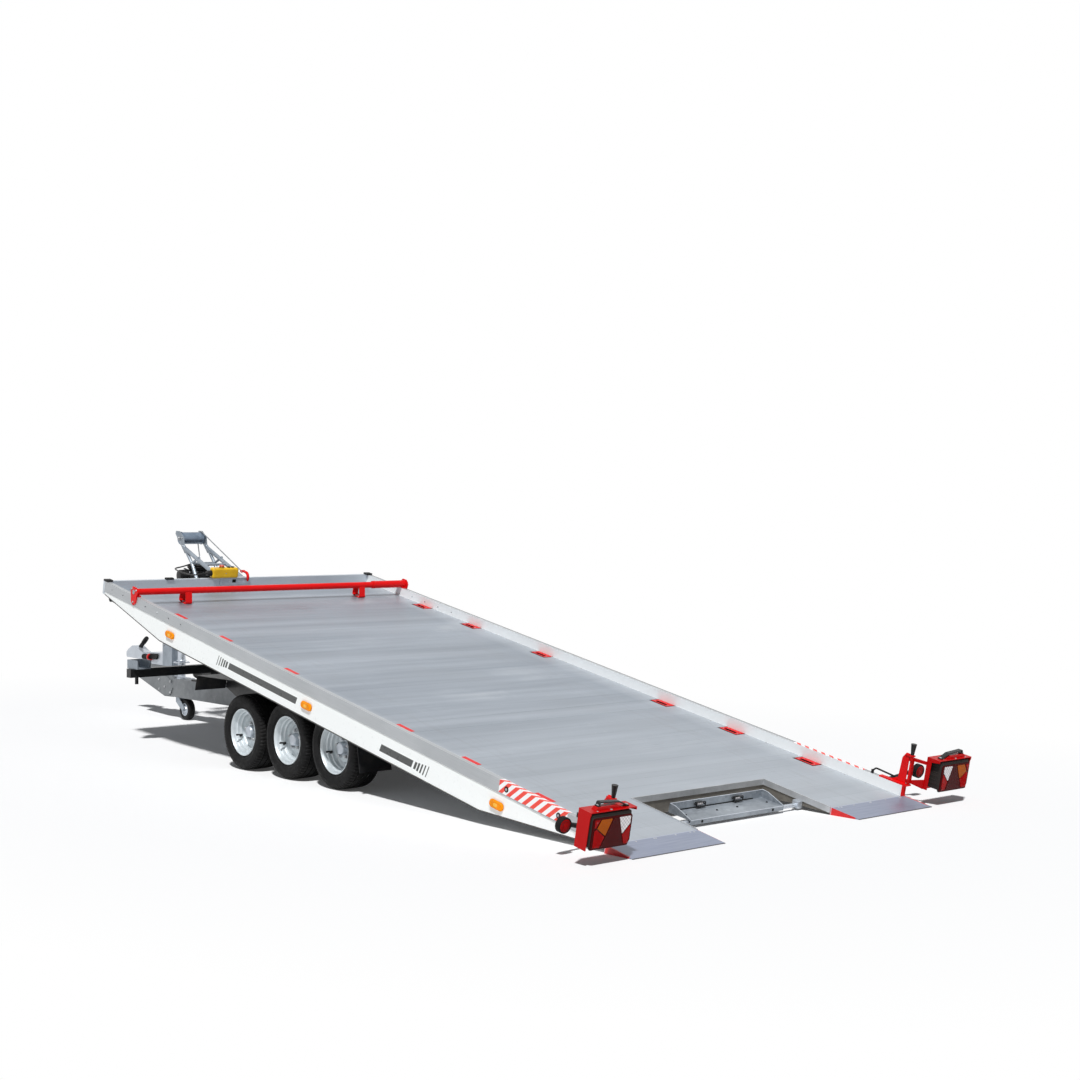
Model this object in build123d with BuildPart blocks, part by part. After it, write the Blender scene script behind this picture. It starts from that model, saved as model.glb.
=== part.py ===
"""Tilting three-axle car transporter trailer, standing with its ramp tips on the ground.

Units are millimetres, X forward, Y to the left and Z up. The origin is on the ground,
in the middle of the trailer's length and width. Chassis pieces are laid out from the
middle axle, platform pieces from the ramp tips along the tilted deck.
"""
from build123d import *
from math import asin, atan2, cos, hypot, radians, sin, tan
import os

os.makedirs("parts", exist_ok=True)

# ---------------------------------------------------------------- driving dimensions
TILT = 11.25  # platform angle in degrees with the ramp tips down
TIP_REACH = 3080  # ramp tips behind the middle axle
NOSE_REACH = 4000  # coupling nose ahead of the middle axle
DECK_LENGTH = 5400  # ramp tips to bulkhead, along the deck
PLATFORM_WIDTH = 2200
DECK_THICK = 30
TOUCH = 0.3  # gap between pieces that rest on each other on different bodies

# side rails, side beams and bulkhead
RAIL_HEIGHT = 60  # rail top above the deck
RAIL_DROP = 10  # rail bottom below the deck
RAIL_THICK = 30
RAIL_HOLE_RADIUS = 6
RAIL_HOLE_PITCH = 163
RAIL_HOLES = 7
COVERED_HOLE = 2  # left out below the wheel stop bar's end plate
RAIL_HOLE_INSET = 110  # first hole behind the bulkhead
RAIL_HOLE_LIFT = 25
BEAM_DEPTH = 150  # beam bottom below the deck
BEAM_THICK = 26
BEAM_FRONT_TAPER = 826
BEAM_REAR_TAPER_START = 1142
BEAM_REAR_TAPER_END = 423
BEAM_REAR_DEPTH = 48
BEAM_NOSE_DEPTH = 32
BEAM_TAIL_DEPTH = 16
BULKHEAD_THICK = 25
CAP_SIZE = 48
CAP_THICK = 12
BUFFER_RADIUS = 22

# rear cut-out and ramp wedges
CUTOUT_LENGTH = 680  # its front edge, from the tips
CUTOUT_HALF = 495
WEDGE_LENGTH = 205
WEDGE_NOSE = 12
TRIM_THICK = 5
TRIM_LIP = 3

# tie-down slots
SLOT_PLACES = (843, 1448, 2047, 3232, 4019, 4613)
SLOT_LENGTH = 155
SLOT_WIDTH = 70
SLOT_CENTRE = 1022
SLOT_HOLE_LENGTH = 92
SLOT_HOLE_WIDTH = 26
SLOT_DEPTH = 26
SLOT_FLOOR = 4
PLANK_JOINT = 0.6
FRONT_JOINT_S = 5020  # cross joint in the deck's front part

# platform frame
FRAME_RAIL_Y = 600
FRAME_RAIL_WIDTH = 60
FRAME_RAIL_DEPTH = 80
FRAME_RAIL_FRONT = DECK_LENGTH - 400
CROSS_WIDTH = 50
OUTRIGGER_DEPTH = 50
OUTRIGGERS = (1500, 4300, 4700)
FRONT_MEMBER = 60
REAR_WALL_DEPTH = 105

# wheels and axles
TYRE_RADIUS = 232
TYRE_WIDTH = 195
RIM_WIDTH = 170
RIM_FLANGE = 144.5
RIM_SEAT = 127
RIM_WELL = 115
RIM_WALL = 4
DISC_OFFSET = 0  # disc's inner face from the wheel's middle plane
DISC_THICK = 8
AXLE_PITCH = 2 * TYRE_RADIUS + 41
WHEEL_Y = 937.5
HUB_RADIUS = 36
SPINDLE_RADIUS = 18
SHAFT_PLAY = 0.5
DRUM_RADIUS = 100
ARM_REACH = 130  # torsion tube ahead of the wheel centre
TUBE_SIZE = 80
TUBE_Z = 300
TUBE_HALF = 750

# chassis
SIDE_MEMBER_Y = 450
SIDE_MEMBER_WIDTH = 60
SIDE_MEMBER_HEIGHT = 80
CHASSIS_REAR = -760
CHASSIS_FRONT = 1330
BEAM_HALF = 50  # central drawbar beam
BEAM_BOTTOM = 170
BEAM_TOP = 310
BEAM_REAR = 740
BEAM_FRONT = 3350
PIVOT_Z = 460
PIVOT_RADIUS = 15
PLATE = 12

# crossbar that carries the lowered platform
CROSSBAR_X = 2060
CROSSBAR_SIZE = 60
CROSSBAR_HALF = 1000
CROSSBAR_BOTTOM = 455
REST_TOP = 575

# lift cylinder
CYLINDER_FOOT = (1000, 360)
CYLINDER_EYE_S = FRAME_RAIL_FRONT - 140
CYLINDER_EYE_DROP = 100
BARREL_RADIUS = 35
BARREL_LENGTH = 620
ROD_RADIUS = 18
EYE_RADIUS = 25

# coupling and overrun device
OVERRUN_REAR = 3377
OVERRUN_FRONT = 3560
OVERRUN_BOTTOM = 400
OVERRUN_SIZE = 92
HEAD_REAR = 3720
TUBE_RADIUS = 25
GRIP_RADIUS = 16
GRIP_LINE = ((3832, 0, 516), (3724, 0, 592))
COUPLING_BALL = 50
COUPLING_Z = 452

# jockey wheel
JOCKEY_X = 3160
JOCKEY_TUBE = 30
JOCKEY_INNER = 24
JOCKEY_BOTTOM = 172
JOCKEY_TOP = 600
JOCKEY_RADIUS = 80
JOCKEY_WIDTH = 55
JOCKEY_TRAIL = 90
JOCKEY_CROWN = 166
JOCKEY_REACH = 150  # how far the leg can be wound out

# lamp holders behind the rails
LAMP_HINGE_S = 193
LAMP_HINGE_Y = PLATFORM_WIDTH / 2
LAMP_INNER = LAMP_HINGE_Y + 12
ROUND_LAMP_Y = LAMP_HINGE_Y + 202
LAMP_WIDTH = 280
LAMP_FRONT = 102
LAMP_REAR = 8
HOOD_REAR = 20
HOOD_TOP = 250
HOOD_BOTTOM = 70
LENS_TOP = 222
LENS_BOTTOM = 76
SHEET = 4
HINGE_ROD = 7
HINGE_TOP = 232

# number plate carrier
SHAFT_S = 418
SHAFT_DROP = 55
SHAFT_RADIUS = 11
CLAMP_LENGTH = 27
CARRIER_HALF = 345
CARRIER_SHEET = 3
CARRIER_FRONT = 552
CARRIER_REAR = 395.5
KNUCKLE_PLACES = (-250, 250)

# winch stand
STAND_Y = 70
STAND_HALF = 95
FRONT_S = DECK_LENGTH + BULKHEAD_THICK
ROLLER_S = FRONT_S + 690
ROLLER_W = RAIL_HEIGHT + 145
ROLLER_RADIUS = 45
ROPE_RADIUS = 4
ROPE_Y = -10
DRUM_S = FRONT_S + 585
DRUM_CORE = 28
WINCH_HEIGHT = 98
COIL_S = DRUM_S - 25
COIL_Y = 62
COIL_RADIUS = 84
STAND_FRONT = FRONT_S + 655
STAND_DROP = 140
COIL_FLOOR = WINCH_HEIGHT + 30 - STAND_DROP + TOUCH

# wheel stop bar
STOP_S = 4960
STOP_W = 88
STOP_RADIUS = 22

# ---------------------------------------------------------------- derived places
SLOPE = radians(TILT)
HALF_WIDTH = PLATFORM_WIDTH / 2
INNER_HALF = HALF_WIDTH - RAIL_THICK
GROUND_FALL = tan(SLOPE)  # the ground falls away below the deck by this much along it


def deck_point(s, w):
    """Chassis x and z of the point s along the deck from the tips, w above it."""
    return (s * cos(SLOPE) - w * sin(SLOPE) - TIP_REACH, s * sin(SLOPE) + w * cos(SLOPE))


def deck_coords(x, z):
    """Deck s and w of a chassis point."""
    along = x + TIP_REACH
    return (along * cos(SLOPE) + z * sin(SLOPE), z * cos(SLOPE) - along * sin(SLOPE))


REAR_REACH = -deck_point(LAMP_REAR, LENS_TOP)[0]
MID_AXLE_X = (REAR_REACH - NOSE_REACH) / 2
CHASSIS = Plane(origin=(MID_AXLE_X, 0, 0))
DECK = Plane(
    origin=(MID_AXLE_X - TIP_REACH, 0, 0),
    x_dir=(cos(SLOPE), 0, sin(SLOPE)),
    z_dir=(-sin(SLOPE), 0, cos(SLOPE)),
)
PIVOT_S, PIVOT_W = deck_coords(0, PIVOT_Z)


INNER_MEMBERS = (
    (1200, FRAME_RAIL_DEPTH),
    (1700, FRAME_RAIL_DEPTH),
    (2200, FRAME_RAIL_DEPTH),
    (2600, 30),
    (PIVOT_S - CROSS_WIDTH / 2, FRAME_RAIL_DEPTH),
    (3600, FRAME_RAIL_DEPTH),
    (4100, FRAME_RAIL_DEPTH),
    (4550, 40),
    (FRAME_RAIL_FRONT - CROSS_WIDTH, FRAME_RAIL_DEPTH),
)


# ---------------------------------------------------------------- shared helpers
def side(base, y):
    """Upright lengthwise plane of a base frame at the lateral place y."""
    return Plane(base.from_local_coords((0, y, 0)), x_dir=base.x_dir, z_dir=-base.y_dir)


def across(base, x):
    """Upright crosswise plane of a base frame at the lengthwise place x."""
    return Plane(base.from_local_coords((x, 0, 0)), x_dir=base.y_dir, z_dir=base.x_dir)


def block(base, xs, ys, zs, mode=Mode.ADD):
    """Box between three pairs of coordinates of a base frame."""
    centre = tuple((low + high) / 2 for low, high in (xs, ys, zs))
    with Locations(Plane(base.from_local_coords(centre), x_dir=base.x_dir, z_dir=base.z_dir)):
        Box(xs[1] - xs[0], ys[1] - ys[0], zs[1] - zs[0], mode=mode)


def rod(base, start, end, radius, mode=Mode.ADD):
    """Round bar between two points of a base frame."""
    first = base.from_local_coords(start)
    last = base.from_local_coords(end)
    with BuildSketch(Plane(origin=first, z_dir=last - first)) as profile:
        Circle(radius)
    extrude(profile.sketch, amount=(last - first).length, mode=mode)


def slab(base, y_low, y_high, points, mode=Mode.ADD):
    """Plate with a lengthwise outline of (x, z) points, between two lateral places."""
    with BuildSketch(side(base, (y_low + y_high) / 2)) as profile:
        with BuildLine():
            Polyline(*points, close=True)
        make_face()
    extrude(profile.sketch, amount=(y_high - y_low) / 2, both=True, mode=mode)


def strip(base, y_low, y_high, points, thick, bend=0, mode=Mode.ADD):
    """Bent sheet whose middle line runs through (x, z) points, between two lateral places."""
    with BuildSketch(side(base, (y_low + y_high) / 2)) as profile:
        with BuildLine():
            if bend:
                FilletPolyline(*points, radius=bend)
            else:
                Polyline(*points)
        trace(line_width=thick)
    extrude(profile.sketch, amount=(y_high - y_low) / 2, both=True, mode=mode)


def cross_slab(base, x_low, x_high, points, mode=Mode.ADD):
    """Plate with a crosswise outline of (y, z) points, between two lengthwise places."""
    with BuildSketch(across(base, x_low)) as profile:
        with BuildLine():
            Polyline(*points, close=True)
        make_face()
    extrude(profile.sketch, amount=x_high - x_low, mode=mode)


def both_sides():
    """Add the mirror image of the part being built on the other side of the trailer."""
    mirror(about=Plane.XZ)


def save(name, piece):
    """Label a finished piece and write it."""
    piece.part.label = name
    export_step(piece.part, f"parts/{name}.step")


# ---------------------------------------------------------------- platform
def build_deck():
    """Two ramp arms, and planks that lie crosswise ahead of them, narrower between the slots."""
    joint = PLANK_JOINT / 2
    heights = (-DECK_THICK, 0)
    start = CUTOUT_LENGTH + TRIM_THICK
    with BuildPart() as deck:
        for ends in ((CUTOUT_HALF, INNER_HALF), (-INNER_HALF, -CUTOUT_HALF)):
            block(DECK, (WEDGE_LENGTH, start - joint), ends, heights)
        for s in SLOT_PLACES:
            rear = s - SLOT_LENGTH / 2
            front = s + SLOT_LENGTH / 2
            inner = SLOT_CENTRE - SLOT_WIDTH / 2
            block(DECK, (start + joint, rear - joint), (-INNER_HALF, INNER_HALF), heights)
            block(DECK, (rear + joint, front - joint), (-inner, inner), heights)
            start = front
        for rear, front in ((start, FRONT_JOINT_S), (FRONT_JOINT_S, DECK_LENGTH + joint)):
            block(DECK, (rear + joint, front - joint), (-INNER_HALF, INNER_HALF), heights)
    save("deck", deck)


def build_tie_down_slots():
    """Flush pans with a long hole, let into the deck against both rails."""
    with BuildPart() as pans:
        for s in SLOT_PLACES:
            ends = (s - SLOT_LENGTH / 2, s + SLOT_LENGTH / 2)
            hole = (s - SLOT_HOLE_LENGTH / 2, s + SLOT_HOLE_LENGTH / 2)
            walls = (SLOT_CENTRE - SLOT_WIDTH / 2, INNER_HALF)
            gap = (SLOT_CENTRE - SLOT_HOLE_WIDTH / 2, SLOT_CENTRE + SLOT_HOLE_WIDTH / 2)
            block(DECK, ends, walls, (-SLOT_DEPTH, 0))
            block(DECK, hole, gap, (SLOT_FLOOR - SLOT_DEPTH, 0), Mode.SUBTRACT)
        both_sides()
    save("tie_down_slots", pans)


def build_side_rails():
    with BuildPart() as rails:
        block(DECK, (WEDGE_LENGTH, DECK_LENGTH), (INNER_HALF, HALF_WIDTH), (-RAIL_DROP, RAIL_HEIGHT))
        for index in range(RAIL_HOLES):
            if index == COVERED_HOLE:
                continue
            s = DECK_LENGTH - RAIL_HOLE_INSET - index * RAIL_HOLE_PITCH
            ends = ((s, INNER_HALF, RAIL_HOLE_LIFT), (s, HALF_WIDTH, RAIL_HOLE_LIFT))
            rod(DECK, *ends, RAIL_HOLE_RADIUS, Mode.SUBTRACT)
        both_sides()
    save("side_rails", rails)


def build_side_beams():
    outline = (
        (DECK_LENGTH, -RAIL_DROP),
        (DECK_LENGTH, -BEAM_NOSE_DEPTH),
        (DECK_LENGTH - BEAM_FRONT_TAPER, -BEAM_DEPTH),
        (BEAM_REAR_TAPER_START, -BEAM_DEPTH),
        (BEAM_REAR_TAPER_END, -BEAM_REAR_DEPTH),
        (WEDGE_LENGTH, -BEAM_TAIL_DEPTH),
        (WEDGE_LENGTH, -RAIL_DROP),
    )
    with BuildPart() as beams:
        slab(DECK, INNER_HALF, INNER_HALF + BEAM_THICK, outline)
        both_sides()
    save("side_beams", beams)


def build_bulkhead():
    with BuildPart() as bulkhead:
        front = (DECK_LENGTH, DECK_LENGTH + BULKHEAD_THICK)
        block(DECK, front, (-HALF_WIDTH, HALF_WIDTH), (-DECK_THICK, RAIL_HEIGHT))
    save("bulkhead", bulkhead)


def build_corner_caps():
    """Black caps on the front corners, and a round rubber buffer under each."""
    front = DECK_LENGTH + BULKHEAD_THICK
    with BuildPart() as caps:
        span = (HALF_WIDTH - CAP_SIZE, HALF_WIDTH)
        block(DECK, (front - CAP_SIZE, front), span, (RAIL_HEIGHT, RAIL_HEIGHT + CAP_THICK))
        buffer = (DECK_LENGTH - FRONT_MEMBER / 2, -DECK_THICK - BUFFER_RADIUS - 4)
        y_ends = (INNER_HALF - 40, INNER_HALF - 4)
        rod(DECK, (buffer[0], y_ends[0], buffer[1]), (buffer[0], y_ends[1], buffer[1]), BUFFER_RADIUS)
        both_sides()
    save("corner_caps", caps)


def build_ramp_wedges():
    outline = (
        (WEDGE_NOSE, 0),
        (WEDGE_LENGTH, 0),
        (WEDGE_LENGTH, -WEDGE_LENGTH * GROUND_FALL),
        (WEDGE_NOSE, -WEDGE_NOSE * GROUND_FALL),
    )
    with BuildPart() as wedges:
        slab(DECK, CUTOUT_HALF, HALF_WIDTH, outline)
        both_sides()
    save("ramp_wedges", wedges)


def build_cutout_frame():
    """Light trim strips round the rear cut-out."""
    heights = (-DECK_THICK, TRIM_LIP)
    with BuildPart() as trim:
        sides = (CUTOUT_HALF - TRIM_THICK, CUTOUT_HALF)
        block(DECK, (WEDGE_LENGTH, CUTOUT_LENGTH + TRIM_THICK), sides, heights)
        both_sides()
        front = (CUTOUT_LENGTH, CUTOUT_LENGTH + TRIM_THICK)
        block(DECK, front, (-CUTOUT_HALF, CUTOUT_HALF), heights)
    save("cutout_frame", trim)


def build_platform_frame():
    """Welded frame below the deck with the tilt lugs and the cylinder's cheeks."""
    top = -DECK_THICK
    rail_bottom = top - FRAME_RAIL_DEPTH
    half_rail = FRAME_RAIL_WIDTH / 2
    rear = CUTOUT_LENGTH + TRIM_THICK
    edge = INNER_HALF - 40
    with BuildPart() as frame:
        rail = (FRAME_RAIL_Y - half_rail, FRAME_RAIL_Y + half_rail)
        block(DECK, (rear, FRAME_RAIL_FRONT), rail, (rail_bottom, top))
        block(DECK, (rear, rear + CROSS_WIDTH), (0, edge), (-REAR_WALL_DEPTH, top))
        for s, depth in INNER_MEMBERS:
            block(DECK, (s, s + CROSS_WIDTH), (0, FRAME_RAIL_Y), (top - depth, top))
        for s in OUTRIGGERS:
            block(DECK, (s, s + CROSS_WIDTH), (0, edge), (top - OUTRIGGER_DEPTH, top))
        front = (DECK_LENGTH - FRONT_MEMBER, DECK_LENGTH)
        block(DECK, front, (0, edge), (top - FRONT_MEMBER, top))
        neck = (FRAME_RAIL_FRONT - CROSS_WIDTH, DECK_LENGTH - FRONT_MEMBER)
        block(DECK, neck, (FRAME_RAIL_Y - half_rail, FRAME_RAIL_Y + half_rail), (top - 40, top))
        # stiffeners below the two ramp arms, tapered to the wedges
        arm = (
            (WEDGE_LENGTH + 10, top),
            (rear, top),
            (rear, -REAR_WALL_DEPTH),
            (SHAFT_S + 60, top - 34),
            (WEDGE_LENGTH + 10, top - 6),
        )
        for y in (CUTOUT_HALF, edge - 40):
            slab(DECK, y, y + 20, arm)
        # tilt lug
        lug_y = (SIDE_MEMBER_Y - 30, SIDE_MEMBER_Y - 30 + PLATE)
        lug = (
            (PIVOT_S - 45, rail_bottom),
            (PIVOT_S + 45, rail_bottom),
            (PIVOT_S + 25, PIVOT_W - 8),
            (PIVOT_S - 25, PIVOT_W - 8),
        )
        slab(DECK, *lug_y, lug)
        pin_ends = ((PIVOT_S, lug_y[0], PIVOT_W), (PIVOT_S, lug_y[1], PIVOT_W))
        rod(DECK, *pin_ends, 25)
        rod(DECK, *pin_ends, PIVOT_RADIUS + SHAFT_PLAY, Mode.SUBTRACT)
        # cylinder cheek
        cheek = (
            (CYLINDER_EYE_S - 60, top),
            (CYLINDER_EYE_S + 60, top),
            (CYLINDER_EYE_S + 25, -CYLINDER_EYE_DROP - 25),
            (CYLINDER_EYE_S - 25, -CYLINDER_EYE_DROP - 25),
        )
        slab(DECK, 36, 36 + PLATE, cheek)
        block(DECK, (CYLINDER_EYE_S - 60, CYLINDER_EYE_S + 60), (0, FRAME_RAIL_Y), (top - 30, top))
        both_sides()
    save("platform_frame", frame)


def build_cross_shaft():
    """Shaft between the ramp arms that carries the number plate carrier."""
    half = CUTOUT_HALF - TRIM_THICK
    with BuildPart() as shaft:
        rod(DECK, (SHAFT_S, -half, -SHAFT_DROP), (SHAFT_S, half, -SHAFT_DROP), SHAFT_RADIUS)
        clamp = (-SHAFT_DROP - SHAFT_RADIUS - 3, -SHAFT_DROP + SHAFT_RADIUS + 12)
        around = (SHAFT_S - SHAFT_RADIUS - 10, SHAFT_S + SHAFT_RADIUS + 10)
        block(DECK, around, (half - CLAMP_LENGTH, half), clamp)
        block(DECK, around, (CUTOUT_HALF - CLAMP_LENGTH, CUTOUT_HALF), (clamp[0], -DECK_THICK - 1))
        both_sides()
    save("cross_shaft", shaft)


def build_wheel_stop_bar():
    """Red tube across the rails with end plates, a wider sleeve and two strap feet."""
    plate_w = STOP_W - 58
    with BuildPart() as bar:
        rod(DECK, (STOP_S, -HALF_WIDTH, STOP_W), (STOP_S, HALF_WIDTH, STOP_W), STOP_RADIUS)
        rod(DECK, (STOP_S, -HALF_WIDTH, STOP_W), (STOP_S, -HALF_WIDTH + 290, STOP_W), STOP_RADIUS + 5)
        shield = (
            (STOP_S - 48, STOP_W + 5),
            (STOP_S - 22, STOP_W + 34),
            (STOP_S + 22, STOP_W + 34),
            (STOP_S + 48, STOP_W + 5),
            (STOP_S + 30, plate_w - 14),
            (STOP_S, plate_w - 32),
            (STOP_S - 30, plate_w - 14),
        )
        for low, high in ((HALF_WIDTH, HALF_WIDTH + 8), (-HALF_WIDTH - 8, -HALF_WIDTH)):
            slab(DECK, low, high, shield)
        saddle = (STOP_S - 34, STOP_S + 34)
        for low, high in ((INNER_HALF, HALF_WIDTH), (-HALF_WIDTH, -INNER_HALF)):
            block(DECK, saddle, (low, high), (RAIL_HEIGHT, RAIL_HEIGHT + 8))
        for y in (-710, 710):
            foot_line = (
                (STOP_S + 5, STOP_W - 12),
                (STOP_S + 52, STOP_W - 22),
                (STOP_S + 58, 14),
                (STOP_S + 30, 3),
                (STOP_S - 38, 3),
                (STOP_S - 20, STOP_W - 8),
            )
            strip(DECK, y - 24, y + 24, foot_line, 6, bend=9)
    save("wheel_stop_bar", bar)


build_deck()
build_tie_down_slots()
build_side_rails()
build_side_beams()
build_bulkhead()
build_corner_caps()
build_ramp_wedges()
build_cutout_frame()
build_platform_frame()
build_cross_shaft()
build_wheel_stop_bar()


def build_winch_stand():
    """Zinced tube frame ahead of the bulkhead that carries the winch and the rope roller."""
    front = DECK_LENGTH + BULKHEAD_THICK
    left = STAND_Y + STAND_HALF
    right = STAND_Y - STAND_HALF
    with BuildPart() as stand:
        # upright plate on the bulkhead and the two rails that run forward from its foot
        block(DECK, (front, front + 8), (right - 30, left + 30), (-STAND_DROP - 25, RAIL_HEIGHT - 5))
        for y in (left, right):
            block(DECK, (front + 8, STAND_FRONT), (y - 20, y + 20), (-STAND_DROP, -STAND_DROP + 30))
            rod(DECK, (front + 6, y, 30), (ROLLER_S - 75, y, ROLLER_W - 55), 15)
            knee = front + 475
            rod(DECK, (ROLLER_S - 75, y, ROLLER_W - 45), (knee, y, ROLLER_W - 145), 12)
            rod(DECK, (knee, y, ROLLER_W - 143), (knee - 170, y, -STAND_DROP + 20), 12)
            rod(DECK, (knee, y, ROLLER_W - 147), (knee - 100, y, ROLLER_W - 81), 9)
            cheek = (
                (ROLLER_S - 100, ROLLER_W - 95),
                (ROLLER_S - 60, ROLLER_W + 20),
                (ROLLER_S + 10, ROLLER_W + 52),
                (ROLLER_S + 62, ROLLER_W + 44),
                (ROLLER_S + 66, ROLLER_W + 20),
            )
            slab(DECK, y - 3, y + 3, cheek)
            rod(
                DECK,
                (ROLLER_S, y, ROLLER_W),
                (ROLLER_S, STAND_Y, ROLLER_W),
                10,
            )
        for s in (front + 55, STAND_FRONT - 50):
            block(DECK, (s, s + 40), (right, left), (-STAND_DROP, -STAND_DROP + 12))
        for s, w in ((front + 295, ROLLER_W - 116.5), (front + 473, ROLLER_W - 146)):
            rod(DECK, (s, right, w), (s, left, w), 9)
    save("winch_stand", stand)


def build_rope_roller():
    half = STAND_HALF - 3.5 - SHAFT_PLAY
    with BuildPart() as roller:
        centre = DECK.from_local_coords((ROLLER_S, STAND_Y, ROLLER_W))
        with BuildSketch(Plane(centre, x_dir=DECK.x_dir, z_dir=-DECK.y_dir)) as profile:
            Circle(ROLLER_RADIUS)
            Circle(10 + SHAFT_PLAY, mode=Mode.SUBTRACT)
        extrude(profile.sketch, amount=half, both=True)
    save("rope_roller", roller)


def build_winch():
    """Electric winch: drum between two cheeks, motor to the left and gearbox to the right."""
    floor = -STAND_DROP + 30
    axis = floor + 52
    with BuildPart() as winch:
        block(DECK, (DRUM_S - 80, DRUM_S + 65), (STAND_Y - 125, STAND_Y + 125), (floor, floor + 8))
        for y in (STAND_Y - 95, STAND_Y + 62):
            block(DECK, (DRUM_S - 54, DRUM_S + 54), (y - 5, y + 5), (floor + 7, floor + WINCH_HEIGHT))
        rod(DECK, (DRUM_S, STAND_Y - 95, axis), (DRUM_S, STAND_Y + 62, axis), DRUM_CORE)
        rod(DECK, (DRUM_S, STAND_Y + 64, axis), (DRUM_S, STAND_Y + 130, axis), 41)
        rod(DECK, (DRUM_S, STAND_Y - 130, axis), (DRUM_S, STAND_Y - 98, axis), 41)
    save("winch", winch)


def crossing(first, first_angle, second, second_angle):
    """Point where two lines meet, each given by a point and an angle."""
    shift = (second[0] - first[0], second[1] - first[1])
    across_second = shift[0] * sin(second_angle) - shift[1] * cos(second_angle)
    along = across_second / sin(second_angle - first_angle)
    return (first[0] + along * cos(first_angle), first[1] + along * sin(first_angle))


def rope_route():
    """Rope from the drum's front up round the roller and down to the hook, and its bend."""
    bend = ROLLER_RADIUS + ROPE_RADIUS + 0.8
    start = (DRUM_S + DRUM_CORE + ROPE_RADIUS + 1.5, -STAND_DROP + 82)
    finish = (DECK_LENGTH + 79, RAIL_HEIGHT + 32)
    up = (ROLLER_S - start[0], ROLLER_W - start[1])
    down = (ROLLER_S - finish[0], ROLLER_W - finish[1])
    up_angle = atan2(up[1], up[0]) - asin(bend / hypot(*up))
    down_angle = atan2(down[1], down[0]) + asin(bend / hypot(*down))
    return (start, crossing(start, up_angle, finish, down_angle), finish), bend


def cord(points, radius, bend, plane=None):
    """Round cord along straight runs joined by arcs, in a deck plane or in space."""
    with BuildLine(plane or Plane.XY) as route:
        FilletPolyline(*points, radius=bend)
    start = route.line @ 0
    with BuildSketch(Plane(origin=start, z_dir=route.line % 0)) as profile:
        Circle(radius)
    sweep(profile.sketch, path=route.line)


def build_winch_rope():
    points, bend = rope_route()
    with BuildPart() as rope:
        cord(points, ROPE_RADIUS, bend, side(DECK, ROPE_Y))
    save("winch_rope", rope)


def build_rope_hook():
    """Red hook at the rope's end, hung over the bulkhead."""
    y = ROPE_Y
    line = (
        (DECK_LENGTH + 76, RAIL_HEIGHT + 32),
        (DECK_LENGTH + 20, RAIL_HEIGHT + 36),
        (DECK_LENGTH - 14, RAIL_HEIGHT + 32),
        (DECK_LENGTH - 22, RAIL_HEIGHT - 20),
    )
    with BuildPart() as hook:
        strip(DECK, y - 9, y + 9, line, 12, bend=14)
        block(DECK, (DECK_LENGTH - 18, DECK_LENGTH), (y - 8, y + 8), (RAIL_HEIGHT - 24, RAIL_HEIGHT - 10))
    save("rope_hook", hook)


def build_pendant():
    """Yellow hand control standing on the bulkhead."""
    s = DECK_LENGTH + 6
    with BuildPart() as pendant:
        body = DECK.from_local_coords((s, 176, RAIL_HEIGHT + 41))
        with Locations(Plane(body, x_dir=DECK.x_dir, z_dir=DECK.z_dir)):
            Box(58, 210, 74)
        fillet(pendant.edges(), radius=14)
        gland = DECK.from_local_coords((s, 297, RAIL_HEIGHT + 38))
        with Locations(Plane(gland, x_dir=DECK.z_dir, z_dir=DECK.y_dir)):
            Cylinder(19, 40)
        button = DECK.from_local_coords((s, 200, RAIL_HEIGHT + 84))
        with Locations(Plane(button, x_dir=DECK.x_dir, z_dir=DECK.z_dir)):
            Cylinder(18, 22)
        for y in (112, 142):
            spot = DECK.from_local_coords((s, y, RAIL_HEIGHT + 80))
            with Locations(Plane(spot, x_dir=DECK.x_dir, z_dir=DECK.z_dir)):
                Cylinder(10, 10)
        block(DECK, (DECK_LENGTH, DECK_LENGTH + 24), (90, 260), (RAIL_HEIGHT, RAIL_HEIGHT + 8))
    save("pendant", pendant)


def build_pendant_cable():
    s = DECK_LENGTH + 6
    end = COIL_FLOOR + 26
    finish = COIL_Y + COIL_RADIUS + TOUCH
    gland = RAIL_HEIGHT + 38
    points = (
        (s, 317.3, gland),
        (s, 352, gland),
        (s + 150, 360, gland - 38),
        (COIL_S, 290, end),
        (COIL_S, finish, end),
    )
    with BuildPart() as cable:
        cord([DECK.from_local_coords(point) for point in points], 5, 22)
    save("pendant_cable", cable)


def build_pendant_coil():
    """Spare cable, coiled on top of the winch."""
    centre = DECK.from_local_coords((COIL_S, COIL_Y, COIL_FLOOR))
    with BuildPart() as coil:
        with BuildSketch(Plane(centre, x_dir=DECK.x_dir, z_dir=DECK.z_dir)) as profile:
            Circle(COIL_RADIUS)
            Circle(COIL_RADIUS - 46, mode=Mode.SUBTRACT)
        extrude(profile.sketch, amount=48)
        fillet(coil.edges(), radius=18)
    save("pendant_coil", coil)


def build_marker_lamps():
    """Amber lamps along the side beams and a round lamp behind each rail end."""
    face = INNER_HALF + BEAM_THICK
    with BuildPart() as lamps:
        for s in (1004, 2781, 4436):
            block(DECK, (s - 42, s + 42), (face, face + 13), (-91, -57))
        rod(DECK, (272, ROUND_LAMP_Y, 94), (304, ROUND_LAMP_Y, 94), 39)
        block(DECK, (316, 344), (HALF_WIDTH, HALF_WIDTH + 30), (34, 66))
        rod(DECK, (330, HALF_WIDTH + 22, 50), (300, ROUND_LAMP_Y - 17, 88), 13)
        both_sides()
    save("marker_lamps", lamps)


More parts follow.
